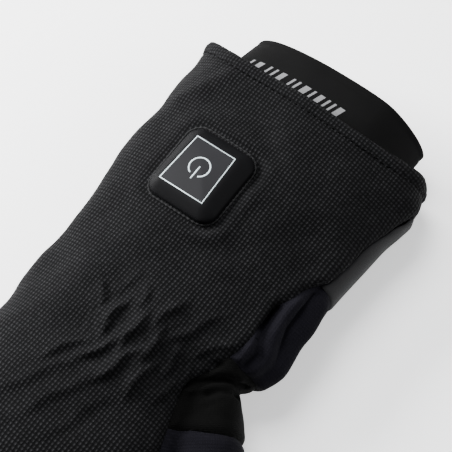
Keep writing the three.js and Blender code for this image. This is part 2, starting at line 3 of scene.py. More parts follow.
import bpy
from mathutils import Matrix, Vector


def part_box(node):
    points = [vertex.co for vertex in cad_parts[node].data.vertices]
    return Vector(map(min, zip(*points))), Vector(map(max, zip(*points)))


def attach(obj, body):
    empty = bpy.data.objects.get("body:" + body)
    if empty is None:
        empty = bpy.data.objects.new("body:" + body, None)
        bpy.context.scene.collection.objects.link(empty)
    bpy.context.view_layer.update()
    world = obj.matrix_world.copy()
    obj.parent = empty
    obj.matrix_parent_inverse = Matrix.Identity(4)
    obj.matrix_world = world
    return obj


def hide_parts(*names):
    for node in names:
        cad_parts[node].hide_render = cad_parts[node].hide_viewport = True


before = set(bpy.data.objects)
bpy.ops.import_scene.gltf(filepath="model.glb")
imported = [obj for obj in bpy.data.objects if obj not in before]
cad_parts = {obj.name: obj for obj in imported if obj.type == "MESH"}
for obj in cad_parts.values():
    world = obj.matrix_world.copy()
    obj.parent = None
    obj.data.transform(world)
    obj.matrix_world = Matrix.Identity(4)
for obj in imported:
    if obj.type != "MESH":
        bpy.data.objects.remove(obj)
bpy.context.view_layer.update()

import logging
import math
from dataclasses import dataclass, field
from enum import Enum
from typing import Any, Callable, Sequence

import bpy
import numpy as np
from mathutils import Matrix, Vector
from mathutils.bvhtree import BVHTree
from mathutils.kdtree import KDTree

log = logging.getLogger("glove")
Array = np.ndarray
Colour = tuple[float, float, float]
MM = 0.001
ROUND_POWER = 2.3  # the sections of fingers, thumb and band: 2 would be an ellipse
LAP_STEPS = 720  # steps of the tables that measure the way round a section


class Slot(Enum):
    """The material slots of the record, handed to each piece; nothing reads them, and the pieces take their finish from
    Finishes.
    """

    KNIT = "knit_black"
    FLEECE = "fleece_navy"
    STRETCH = "stretch_black"
    WEBBING = "webbing_black"
    TAPE = "tape_grey"
    SILICONE = "silicone_black"
    FACE = "face_grey"


class Panel(Enum):
    """The sewn panels of the glove, named as the nodes that they stand for."""

    BACK = "back_panel"
    PALM = "palm_panel"
    GUSSET = "side_gusset"
    STRIP = "finger_side_strip"
    BASE = "thumb_base"
    COVER = "thumb_cover"


def smoothstep(low: float, high: float, value: Array) -> Array:
    """A soft step from 0 at low to 1 at high."""
    t = np.clip((value - low) / (high - low), 0.0, 1.0)
    return t * t * (3.0 - 2.0 * t)


def bell(distance: Array, width: float) -> Array:
    """A bell of height 1 at distance 0."""
    return np.exp(-0.5 * (distance / width) ** 2)


def powered(value: Array, exponent: float) -> Array:
    """A power that keeps the sign."""
    return np.sign(value) * np.abs(value) ** exponent


def plateau(rise: tuple[float, float], fall: tuple[float, float], value: Array) -> Array:
    """A soft step up from 0 to 1, and further on a soft step down again."""
    return smoothstep(*rise, value) * (1 - smoothstep(*fall, value))


def squircle(turns: Array) -> tuple[Array, Array]:
    """Places round a rounded section of radius 1: across it, and up."""
    return powered(np.cos(turns), 2 / ROUND_POWER), powered(np.sin(turns), 2 / ROUND_POWER)


def run_length(path: Array) -> Array:
    """The distance along a path at each of its points."""
    return np.append(0, np.cumsum(np.linalg.norm(np.diff(path, axis=0), axis=1)))


def at_runs(path: Array, run: Array, at: Array) -> Array:
    """The points of a path at distances along it."""
    return np.stack([np.interp(at, run, path[:, i]) for i in range(path.shape[1])], 1)


def unit(vectors: Array) -> Array:
    """Vectors brought to length 1."""
    return vectors / np.linalg.norm(vectors, axis=1)[:, None]


def from_segment(points: Array, start: Array, end: Array) -> Array:
    """The vectors to points from the nearest place on a segment."""
    run = end - start
    t = np.clip(((points - start) @ run) / (run @ run), 0, 1)
    return points - start - t[:, None] * run


def aside(away: Array, ahead: Array) -> Array:
    """How far vectors lead to the right of a level heading."""
    return away[:, 0] * ahead[..., 1] - away[:, 1] * ahead[..., 0]


def hoop(middle: Array, across: Array, up: Array, radius: float, count: int) -> Array:
    """Evenly spaced points of a circle in the plane of two directions."""
    turns = np.linspace(0, 2 * math.pi, count + 1)[:-1]
    return middle + radius * (np.cos(turns)[:, None] * across + np.sin(turns)[:, None] * up)


def join(tree: bpy.types.NodeTree, socket: Any, value: Any) -> None:
    """Links a wire to a socket, or sets the socket's value."""
    if isinstance(value, Wire):
        tree.links.new(value.socket, socket)
    else:
        socket.default_value = value


def operator(operation: str, swapped: bool = False) -> Callable[["Wire", Any], "Wire"]:
    """Makes the method of a wire for one of Python's operators.

    Args:
        operation: The Math node's operation.
        swapped: Whether the wire stands on the operator's right.

    Returns:
        The method.
    """
    return lambda wire, other: wire.maths(operation, *((other, wire) if swapped else (wire, other)))


class Wire:
    """A node's output, on which shader maths is written as Python expressions."""

    def __init__(self, tree: bpy.types.NodeTree, socket: Any) -> None:
        """Wraps one socket.

        Args:
            tree: The node tree that the socket belongs to.
            socket: The output socket.
        """
        self.tree = tree
        self.socket = socket

    def maths(self, operation: str, *values: Any) -> "Wire":
        """Adds a Math node.

        Args:
            operation: The node's operation.
            values: Its inputs, as wires or numbers.

        Returns:
            The node's output.
        """
        node = self.tree.nodes.new("ShaderNodeMath")
        node.operation = operation
        for socket, value in zip(node.inputs, values):
            join(self.tree, socket, value)
        return Wire(self.tree, node.outputs[0])

    __add__, __radd__ = operator("ADD"), operator("ADD", True)
    __sub__, __rsub__ = operator("SUBTRACT"), operator("SUBTRACT", True)
    __mul__, __rmul__ = operator("MULTIPLY"), operator("MULTIPLY", True)
    __pow__ = operator("POWER")

    def wave(self, period: float) -> "Wire":
        """A smooth wave from 0 to 1 with a period in the wire's own units."""
        return 0.5 + 0.5 * self.maths("COSINE", self * (2.0 * math.pi / period))

    def cell(self, period: float) -> "Wire":
        """The whole number of the period that the value lies in."""
        return self.maths("FLOOR", self * (1.0 / period) + 0.5)


class Shader:
    """One material's node tree, with short ways to add its nodes."""

    def __init__(self, name: str) -> None:
        """Makes the material with its Principled shader.

        Args:
            name: The material's name.
        """
        self.material = bpy.data.materials.new(name)
        self.material.use_nodes = True
        self.tree = self.material.node_tree
        self.surface = self.tree.nodes["Principled BSDF"]

    def node(self, kind: str, settings: dict[str, Any] | None = None, **inputs: Any) -> bpy.types.Node:
        """Adds a node, sets it up and joins its inputs.

        Args:
            kind: The node's type, without the word ShaderNode in front.
            settings: Properties of the node, set first.
            inputs: Values or wires of its inputs, by name with _ for a space, or by in_ and a number.

        Returns:
            The new node.
        """
        node = self.tree.nodes.new("ShaderNode" + kind)
        for key, value in (settings or {}).items():
            setattr(node, key, value)
        for key, value in inputs.items():
            place = int(key[3:]) if key.startswith("in_") else key.replace("_", " ")
            join(self.tree, node.inputs[place], value)
        return node

    def out(self, node: bpy.types.Node, name: str | int = 0) -> Wire:
        """One output of a node as a wire."""
        return Wire(self.tree, node.outputs[name])

    def weave(self) -> tuple[Wire, Wire]:
        """The cloth's own coordinates in metres: across the cloth, and along it."""
        place = self.node("UVMap", {"uv_map": "Cloth"})
        parts = self.node("SeparateXYZ", in_0=self.out(place))
        return self.out(parts, "X"), self.out(parts, "Y")

    def point(self) -> Wire:
        """The place in the object."""
        return self.out(self.node("TexCoord"), "Object")

    def noise(self, size: float, detail: float = 2.0, rough: float = 0.5) -> Wire:
        """Smooth noise from 0 to 1 with blobs of a size in metres."""
        node = self.node("TexNoise", Vector=self.point(), Scale=1.0 / size, Detail=detail, Roughness=rough)
        return self.out(node, 0)

    def speckle(self, across: Wire, along: Wire) -> Wire:
        """A random number for each pair of whole numbers."""
        pair = self.node("CombineXYZ", X=across, Y=along)
        return self.out(self.node("TexWhiteNoise", {"noise_dimensions": "2D"}, Vector=self.out(pair)), "Value")

    def blend(self, share: Wire, dark: Colour, light: Colour) -> Wire:
        """A colour between two, by a wire from 0 to 1."""
        node = self.node("Mix", {"data_type": "RGBA"}, in_0=share, in_6=(*dark, 1.0), in_7=(*light, 1.0))
        return self.out(node, 2)

    def finish(self, height: Wire | None = None, depth: float = 0.0, **inputs: Any) -> bpy.types.Material:
        """Sets the Principled shader's inputs and the bump.

        Args:
            height: The relief, from 0 to 1.
            depth: The relief's depth in metres.
            inputs: Values or wires of the shader's inputs.

        Returns:
            The material.
        """
        if height is not None:
            inputs["Normal"] = self.out(self.node("Bump", Strength=1.0, Distance=depth, Height=height))
        for key, value in inputs.items():
            join(self.tree, self.surface.inputs[key.replace("_", " ")], value)
        return self.material


@dataclass(frozen=True)
class Finish:
    """A finish's name, and its darkest and lightest colour."""

    name: str
    dark: Colour
    light: Colour


@dataclass(frozen=True)
class KnitFinish(Finish):
    """Black waffle knit: rows of small raised beads with pits between them, its colour carrying painted shade in the
    pits and painted highlight on the beads.
    """

    pitch: float = 1.5 * MM
    relief: float = 0.4 * MM

    def material(self) -> bpy.types.Material:
        """The knit's material."""
        shader = Shader(self.name)
        across, along = shader.weave()
        wander = shader.noise(9 * MM) * (0.5 * self.pitch)
        u, v = across + wander, along + wander
        ribs = 0.8 * (u.wave(self.pitch) ** 0.75) + 0.2 * u.wave(0.5 * self.pitch)
        height = ribs * (0.16 + 0.84 * (v.wave(self.pitch) ** 0.75))
        grain = shader.speckle(u.cell(self.pitch), v.cell(self.pitch))
        fibre = shader.noise(0.25 * MM, 1.0)
        patch = shader.noise(30 * MM, 3.0)
        # colour follows the relief height: painted shade in the pits, painted highlight on the bead tops; grain, fibre
        # and patch are the yarn's own uneven tone
        shade = height * (0.55 + 0.45 * grain) * (0.65 + 0.7 * fibre) * (0.8 + 0.4 * patch)
        return shader.finish(
            height * (0.8 + 0.2 * grain) + 0.12 * fibre, self.relief,
            Base_Color=shader.blend(shade, self.dark, self.light), Roughness=0.95 - 0.2 * height,
            Specular_IOR_Level=0.045, Sheen_Weight=0.008, Sheen_Roughness=0.5)


@dataclass(frozen=True)
class BrushedFinish(Finish):
    """Brushed softshell or stretch cloth: a fine nap over faint rows."""

    row: float
    relief: float = 0.22 * MM
    sheen: float = 0.008

    def material(self) -> bpy.types.Material:
        """The cloth's material."""
        shader = Shader(self.name)
        across, along = shader.weave()
        rows = across.wave(self.row) * along.wave(1.3 * self.row)
        nap = shader.noise(0.5 * MM, 3.0, 0.7)
        patch = shader.noise(14 * MM, 3.0)
        shade = 0.2 * rows + 0.75 * (nap ** 1.5) + 0.35 * patch
        return shader.finish(
            0.4 * rows + 0.8 * nap, self.relief,
            Base_Color=shader.blend(shade, self.dark, self.light), Roughness=0.8 + 0.15 * nap,
            Specular_IOR_Level=0.035, Sheen_Weight=self.sheen, Sheen_Roughness=0.4)


@dataclass(frozen=True)
class RibbedFinish(Finish):
    """Woven tape or webbing: fine ribs across, broken by the weave."""

    gloss: float
    rib: float = 0.55 * MM
    relief: float = 0.06 * MM

    def material(self) -> bpy.types.Material:
        """The tape's material."""
        shader = Shader(self.name)
        across, along = shader.weave()
        step = across.cell(self.rib) * (0.5 * self.rib)
        ribs = across.wave(self.rib) * (along + step).wave(self.rib)
        fibre = shader.noise(0.3 * MM, 2.0)
        patch = shader.noise(18 * MM, 2.0)
        shade = 0.3 * ribs + 0.4 * fibre + 0.35 * patch
        return shader.finish(
            ribs + 0.3 * fibre, self.relief,
            Base_Color=shader.blend(shade, self.dark, self.light), Roughness=self.gloss + 0.2 * fibre,
            Specular_IOR_Level=0.04, Sheen_Weight=0.006, Sheen_Roughness=0.4)


@dataclass(frozen=True)
class MouldedFinish(Finish):
    """Moulded silicone, a printed plate or sewing thread: nearly even, with a fine grain."""

    rough: float
    shine: float = 0.1
    grain: float = 0.35 * MM
    relief: float = 0.012 * MM

    def material(self) -> bpy.types.Material:
        """The moulded material."""
        shader = Shader(self.name)
        fine = shader.noise(self.grain, 3.0)
        patch = shader.noise(6 * MM, 2.0)
        return shader.finish(
            fine, self.relief,
            Base_Color=shader.blend(0.5 * fine + 0.5 * patch, self.dark, self.light),
            Roughness=self.rough - 0.08 + 0.16 * patch, Specular_IOR_Level=self.shine)


class Finishes:
    """Every finish of the glove, made once."""

    def __init__(self) -> None:
        """Makes the materials."""
        # the knit's dark colour is painted shade for its pits, its light colour painted highlight for its beads
        knit = KnitFinish("waffle_knit", (0.0009, 0.0009, 0.0010), (0.0125, 0.0125, 0.0135))
        fleece = BrushedFinish("navy_fleece", (0.0006, 0.0005, 0.0009), (0.0076, 0.0072, 0.0102), 0.9 * MM)
        stretch = BrushedFinish("black_stretch", (0.0002, 0.0002, 0.0002), (0.0036, 0.0036, 0.0035), 0.5 * MM)
        webbing = RibbedFinish("elastic_webbing", (0.0004, 0.0004, 0.0004), (0.0066, 0.0066, 0.0067), 0.8)
        tape = RibbedFinish("grey_tape", (0.0056, 0.0056, 0.006), (0.017, 0.017, 0.0177), 0.45, 0.45 * MM)
        silicone = MouldedFinish("black_silicone", (0.0026, 0.0026, 0.0029), (0.0044, 0.0044, 0.0048), 0.56, 0.035)
        face = MouldedFinish("grey_face", (0.0085, 0.0085, 0.0095), (0.0135, 0.0135, 0.0148), 0.6, 0.06, 0.25 * MM)
        ink = MouldedFinish("pale_ink", (0.40, 0.47, 0.49), (0.50, 0.56, 0.58), 0.5)
        grey = MouldedFinish("grey_print", (0.09, 0.09, 0.093), (0.17, 0.17, 0.176), 0.6, grain=0.3 * MM)
        thread = MouldedFinish("black_thread", (0.0004, 0.0004, 0.0004), (0.0022, 0.0022, 0.0023), 0.7, 0.03, 0.2 * MM)
        edging = MouldedFinish("overcast_edging", (0.0008, 0.0008, 0.0008), (0.026, 0.026, 0.027), 0.8, 0.03, 0.5 * MM)
        self.knit, self.fleece, self.stretch = knit.material(), fleece.material(), stretch.material()
        self.webbing, self.tape = webbing.material(), tape.material()
        self.silicone, self.face, self.ink = silicone.material(), face.material(), ink.material()
        self.print_grey, self.thread, self.edging = grey.material(), thread.material(), edging.material()


class Rows:
    """A short table with named columns, read on a smooth curve through its rows."""

    def __init__(self, place: str, names: str, *rows: tuple[float, ...]) -> None:
        """Keeps the table.

        Args:
            place: The column that orders the rows.
            names: The names of all columns, in order.
            rows: One tuple for each row.
        """
        table = np.array(rows, float)
        self.columns = {name: table[:, i] for i, name in enumerate(names.split())}
        self.place = self.columns[place]

    def read(self, name: str, at: Array) -> Array:
        """A column's value at places between the rows.

        Args:
            name: The column.
            at: The places.

        Returns:
            The values on the curve.
        """
        x, y = self.place, self.columns[name]
        last = len(x) - 1
        low = np.clip(np.searchsorted(x, at, side="right") - 1, 0, last - 1)
        before, after = np.maximum(np.arange(last + 1) - 1, 0), np.minimum(np.arange(last + 1) + 1, last)
        slope = (y[after] - y[before]) / (x[after] - x[before])
        span = x[low + 1] - x[low]
        t = np.clip((at - x[low]) / span, 0.0, 1.0)
        rise = (y[low + 1] - y[low]) * t * t * (3 - 2 * t)
        enter = (t**3 - 2 * t * t + t) * span * slope[low]
        leave = (t**3 - t * t) * span * slope[low + 1]
        return y[low] + rise + enter + leave


@dataclass
class GloveForm:
    """The glove's smooth outer form: its sizes, its tables and the skins of body, fingers and thumb."""

    length: float = 214 * MM
    half_width: float = 54 * MM
    height: float = 41 * MM
    edge_dip: float = 9 * MM
    band_reach: float = 10 * MM
    overhang: float = 4 * MM
    body_end: float = 1.018
    finger_roots: float = 0.87
    thumb_steps: int = 60
    finger_length: float = 88 * MM
    finger_width: float = 24.4 * MM
    finger_height: float = 25 * MM
    finger_arch: float = 3 * MM
    thumb_length: float = 84 * MM
    thumb_width: float = 30 * MM
    thumb_height: float = 29 * MM
    palm_seam: float = 7 * MM
    side_seam: float = 17 * MM
    middle: float = 0.47
    sink: float = 1.2 * MM
    top_power: float = 2.35
    under_power: float = 2.9

    def __post_init__(self) -> None:
        """Finds where the design's centre line and cuff edge lie in the frame."""
        low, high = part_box("cuff_band")
        self.origin = np.array([(low.x + high.x) / 2, low.y + self.band_reach, 0.0])
        self.sections = Rows(
            "along", "along thumb ulnar top",
            (0.0, 0.99, 0.985, 1.0),
            (0.04, 1.027, 0.974, 1.0),
            (0.08, 1.062, 0.968, 1.0),
            (0.12, 1.038, 0.984, 1.0),
            (0.155, 1.007, 0.978, 1.0),
            (0.196, 0.99, 0.955, 1.0),
            (0.318, 0.955, 0.929, 0.985),
            (0.4, 0.97, 0.914, 0.95),
            (0.467, 0.995, 0.887, 0.915),
            (0.512, 0.91, 0.88, 0.9),
            (0.545, 0.77, 0.895, 0.895),
            (0.593, 0.7, 0.885, 0.9),
            (0.66, 0.76, 0.88, 0.93),
            (0.77, 0.86, 0.895, 0.93),
            (0.89, 0.92, 0.92, 0.84),
            (0.96, 0.91, 0.9, 0.71),
            (1.0, 0.87, 0.84, 0.59),
            (1.018, 0.78, 0.74, 0.42),
        )
        self.finger_rows = Rows(
            "at", "at girth",
            (0.0, 0.9), (0.12, 0.98), (0.3, 1.0), (0.5, 0.96), (0.65, 0.97), (0.82, 0.93),
            (0.92, 0.8), (0.975, 0.55), (1.0, 0.2),
        )
        self.fingers = [
            {"across": -0.69, "splay": -5.0, "reach": 0.87, "girth": 1.0},
            {"across": -0.232, "splay": -1.3, "reach": 1.0, "girth": 1.0},
            {"across": 0.228, "splay": 2.6, "reach": 0.91, "girth": 0.98},
            {"across": 0.665, "splay": 7.5, "reach": 0.68, "girth": 0.9},
        ]
        self.thumb_rows = Rows(
            "along", "side along girth",
            (0.0, 0.0, 0.55), (-0.09, 0.125, 0.86), (-0.179, 0.238, 1.0), (-0.305, 0.4, 0.99),
            (-0.45, 0.6, 0.97), (-0.565, 0.79, 0.95), (-0.63, 0.93, 0.84), (-0.665, 1.02, 0.6),
            (-0.68, 1.06, 0.22),
        )
        self.thumb_root = np.array([-0.407 * self.half_width, 0.505 * self.length])
        self.back_edge = np.array([
            (-1.1, -0.15), (-1.1, 0.06), (-1.06, 0.088), (-1.04, 0.112), (-1.005, 0.14), (-0.972, 0.173),
            (-0.946, 0.2), (-0.926, 0.234), (-0.885, 0.303), (-0.79, 0.345), (-0.735, 0.385),
            (-0.72, 0.44), (-0.685, 0.5), (-0.6, 0.56), (-0.55, 0.6), (-0.61, 0.645), (-0.69, 0.71),
            (-0.8, 0.75), (-0.88, 0.776), (-0.935, 0.818), (-0.99, 0.855), (-1.045, 0.9), (-1.13, 0.96),
            (-1.195, 1.9),
        ]) * (self.half_width, self.length)
        self.thumb_seam = np.array([
            (-0.5, 0.69), (-0.67, 0.667), (-0.74, 0.652), (-0.85, 0.638), (-1.04, 0.608), (-1.3, 0.56),
        ]) * (self.half_width, self.length)

    def ring(self, along: float, turns: Array, inset: float = 0.0) -> Array:
        """One section of the body.

        Args:
            along: The distance from the cuff edge.
            turns: Angles round the section, from the ulnar flank over the back.
            inset: How far the section is drawn in.

        Returns:
            The points, in the design's frame.
        """
        thumb, ulnar, top, middle = self.section(np.array(along / self.length))
        cos, sin = np.cos(turns), np.sin(turns)
        half = np.where(cos > 0, ulnar, thumb) - inset
        tall = np.where(sin > 0, top - middle, middle + self.sink) - inset
        exponent = 2.0 / np.where(sin > 0, self.top_power, self.under_power)
        z = middle + tall * powered(sin, exponent)
        return np.stack([half * powered(cos, exponent), np.full_like(z, along), np.maximum(z, inset)], 1)

    def section(self, share: Array) -> tuple[Array, Array, Array, Array]:
        """The sections at shares of the length: both half widths, the top and the height of the middle."""
        thumb, ulnar = (self.sections.read(key, share) * self.half_width for key in ("thumb", "ulnar"))
        top = self.sections.read("top", share) * self.height
        return thumb, ulnar, top, self.middle * top

    def lap(self, along: float) -> tuple[Array, Array, Array]:
        """A closed section in fine steps: its angles, its points and the way round to them."""
        turns = np.linspace(0, 2 * math.pi, 1025)
        ring = self.ring(along, turns)
        return turns, ring, run_length(ring)

    def stops(self, count: int) -> Array:
        """Even steps along the body, from outside the cuff to the roots of the fingers."""
        return np.linspace(-self.overhang, self.body_end * self.length, count)

    def angle(self, points: Array) -> Array:
        """The angles round the body's section at points on or near it.

        Args:
            points: The points, in the design's frame.

        Returns:
            The angles, from the ulnar flank over the back.
        """
        thumb, ulnar, top, middle = self.section(points[:, 1] / self.length)
        above = points[:, 2] > middle
        power = np.where(above, self.top_power, self.under_power) / 2
        across = powered(points[:, 0] / np.where(points[:, 0] > 0, ulnar, thumb), power)
        up = powered((points[:, 2] - middle) / np.where(above, top - middle, middle + self.sink), power)
        turn = np.arctan2(up, across)
        return np.where(turn < -math.pi / 2, turn + 2 * math.pi, turn)

    def body_cloth(self, points: Array) -> tuple[Array, Array]:
        """The body's cloth coordinates: the way round the section from its top, and the way along.

        Args:
            points: The points, in the design's frame.

        Returns:
            The places across and along the cloth, in metres.
        """
        stops = self.stops(90)
        turns = np.linspace(-math.pi / 2, 1.5 * math.pi, LAP_STEPS + 1)
        runs = [run_length(self.ring(float(stop), turns)) for stop in stops]
        table = np.array([run - run[LAP_STEPS // 2] for run in runs])
        row = np.clip((points[:, 1] - stops[0]) / (stops[1] - stops[0]), 0, len(stops) - 1.001)
        column = np.clip((self.angle(points) + math.pi / 2) / (turns[1] - turns[0]), 0, LAP_STEPS - 0.001)
        r, c = row.astype(int), column.astype(int)
        u, v = row - r, column - c
        low = table[r, c] * (1 - v) + table[r, c + 1] * v
        high = table[r + 1, c] * (1 - v) + table[r + 1, c + 1] * v
        return low * (1 - u) + high * u, points[:, 1]

    @staticmethod
    def round_arc(across: Array, up: Array) -> Array:
        """The way round a rounded section of radius 1, from its top."""
        turns = np.linspace(-math.pi, math.pi, LAP_STEPS + 1)
        run = run_length(np.stack(squircle(turns), 1))
        angle = np.arctan2(powered(across, ROUND_POWER / 2), powered(up, ROUND_POWER / 2))
        return np.interp(angle, turns, run - run[LAP_STEPS // 2])

    def cloth(self, points: Array) -> tuple[Array, Array]:
        """The cloth coordinates of the hand: the body's, passing into each finger's own.

        Args:
            points: Points on the hand, in the design's frame.

        Returns:
            The places across and along the cloth, in metres.
        """
        across, along = self.body_cloth(points)
        nearest = np.full(len(points), np.inf)
        finger_across, finger_along = across.copy(), along.copy()
        for finger in self.fingers:
            root, heading, length = self.finger_line(finger)
            away = points - root
            run = away[:, :2] @ heading[:2]
            side = aside(away, heading)
            at = np.clip(run / length, 0, 1)
            girth = np.maximum(self.finger_rows.read("girth", at), 0.5)
            half = girth * finger["girth"] * self.finger_width / 2
            tall = girth * self.finger_height / 2
            middle = self.finger_height / 2 + self.finger_arch * np.sin(math.pi * at)
            start, _ = self.body_cloth(np.array([[root[0], root[1], 0.8 * self.height]]))
            round_it = start[0] - self.round_arc(side / half, (points[:, 2] - middle) / tall) * (half + tall) / 2
            mine = np.abs(side) < nearest
            nearest = np.where(mine, np.abs(side), nearest)
            finger_across = np.where(mine, round_it, finger_across)
            finger_along = np.where(mine, root[1] + run, finger_along)
        share = smoothstep(0.9 * self.length, 0.985 * self.length, points[:, 1])
        return across + share * (finger_across - across), along + share * (finger_along - along)

    def thumb_cloth(self, points: Array) -> tuple[Array, Array]:
        """The thumb's own cloth coordinates.

        Args:
            points: The points, in the design's frame.

        Returns:
            The places across and along the cloth, in metres.
        """
        centre, _ = self.thumb_line(self.thumb_steps)
        heading = unit(np.gradient(centre, axis=0))
        run = run_length(centre)
        distance = np.stack([np.hypot(points[:, 0] - c[0], points[:, 1] - c[1]) for c in centre])
        near = np.argmin(distance, axis=0)
        away = points - centre[near]
        ahead = heading[near]
        side = aside(away, ahead)
        radius = self.thumb_width / 2
        along = run[near] + away[:, 0] * ahead[:, 0] + away[:, 1] * ahead[:, 1]
        return self.round_arc(side / radius, away[:, 2] / radius) * radius, along

    def on_cloth(self, along: float, turn: float, rise: float) -> Array:
        """A point on the body's smooth form.

        Args:
            along: The place along the glove.
            turn: The share of the way round, from the ulnar flank over the back.
            rise: The height over the cloth.

        Returns:
            The point in the design's frame.
        """
        _, ring, run = self.lap(along)
        point, before, after = at_runs(ring, run, (turn + np.array([0.0, -0.004, 0.004])) * run[-1])
        away = np.array([after[2] - before[2], 0.0, before[0] - after[0]])
        return point + rise * away / np.linalg.norm(away)

    def cuff_edge(self, points: Array) -> Array:
        """How far the cuff's edge dips towards the hand at points, by their place across.

        Args:
            points: The points, in the design's frame.

        Returns:
            The place of the edge along the glove.
        """
        ulnar = points[:, 0] > 0
        half = np.where(ulnar, 1.02, 1.0) * self.half_width
        low = smoothstep(0.0, 0.55 * self.height, points[:, 2])
        level = np.where(ulnar, 2.4 * MM, 3.4 * MM) - 3.2 * MM * (1.0 - low)
        return level + (self.edge_dip - level) * (1.0 - np.minimum(np.abs(points[:, 0]) / half, 1.0) ** 4.0)

    def body_rings(self) -> list[Array]:
        """The body as rings, from outside the cuff to the roots of the fingers."""
        turns = np.linspace(0, 2 * math.pi, 180, endpoint=False)
        return [self.ring(stop, turns) for stop in self.stops(110)]

    @staticmethod
    def round_ring(centre: Array, heading: Array, half: float, tall: float) -> Array:
        """A rounded section across a level heading."""
        cos, sin = squircle(np.linspace(0, 2 * math.pi, 56, endpoint=False))
        points = centre + half * cos[:, None] * np.array([heading[1], -heading[0], 0.0])
        points[:, 2] = np.maximum(centre[2] + tall * sin, 0.0)
        return points

    def finger_line(self, finger: dict[str, float]) -> tuple[Array, Array, float]:
        """Where a finger starts and points, and how long it is.

        Args:
            finger: Its sizes.

        Returns:
            The root, the level heading and the length.
        """
        angle = math.radians(finger["splay"])
        root_along = self.finger_roots * self.length
        heading = np.array([math.sin(angle), math.cos(angle), 0.0])
        root = np.array([finger["across"] * self.half_width, root_along, 0.0])
        return root, heading, self.length - root_along + finger["reach"] * self.finger_length

    def finger_rings(self, finger: dict[str, float]) -> list[Array]:
        """One finger as rings, rounded at its tip.

        Args:
            finger: Its sizes.

        Returns:
            The rings, from the root.
        """
        root, heading, length = self.finger_line(finger)
        rings = []
        for at in np.append(np.linspace(0, 0.9, 26), 1 - 0.1 * np.linspace(0.9, 0, 9) ** 1.6):
            girth = float(self.finger_rows.read("girth", np.array(at)))
            girth = min(girth, math.sqrt(max(1 - (max(at - 0.88, 0) / 0.1205) ** 2, 0.003)))
            centre = root + heading * at * length
            centre[2] = self.finger_height / 2 + self.finger_arch * math.sin(math.pi * at)
            tall = girth * self.finger_height / 2
            rings.append(self.round_ring(centre, heading, girth * finger["girth"] * self.finger_width / 2, tall))
        return rings

    def thumb_line(self, count: int) -> tuple[Array, Array]:
        """Points along the thumb's middle, and their girths.

        Args:
            count: How many points.

        Returns:
            The points and the girths.
        """
        rows = np.stack([self.thumb_rows.columns[key] for key in ("side", "along", "girth")], 1)
        run = run_length(rows[:, :2])
        steps = np.linspace(0, run[-1], count)
        line = at_runs(rows, run, steps)
        for _ in range(2):
            line[1:-1] = (line[:-2] + 2 * line[1:-1] + line[2:]) / 4
        centre = np.zeros((count, 3))
        centre[:, :2] = self.thumb_root + line[:, :2] * self.thumb_length
        centre[:, 2] = self.thumb_height / 2
        left = (run[-1] - steps) * self.thumb_length
        tip = np.sqrt(np.clip(1 - (np.maximum(13 * MM - left, 0) / (13.1 * MM)) ** 2, 0.003, 1))
        return centre, np.minimum(line[:, 2] * np.where(left < 20 * MM, 1.04, 1), tip)

    def thumb_rings(self) -> list[Array]:
        """The thumb as rings, rounded at its tip."""
        centre, girth = self.thumb_line(self.thumb_steps)
        rows = zip(centre, unit(np.gradient(centre, axis=0)), girth)
        return [self.round_ring(c, h, g * self.thumb_width / 2, g * self.thumb_height / 2) for c, h, g in rows]


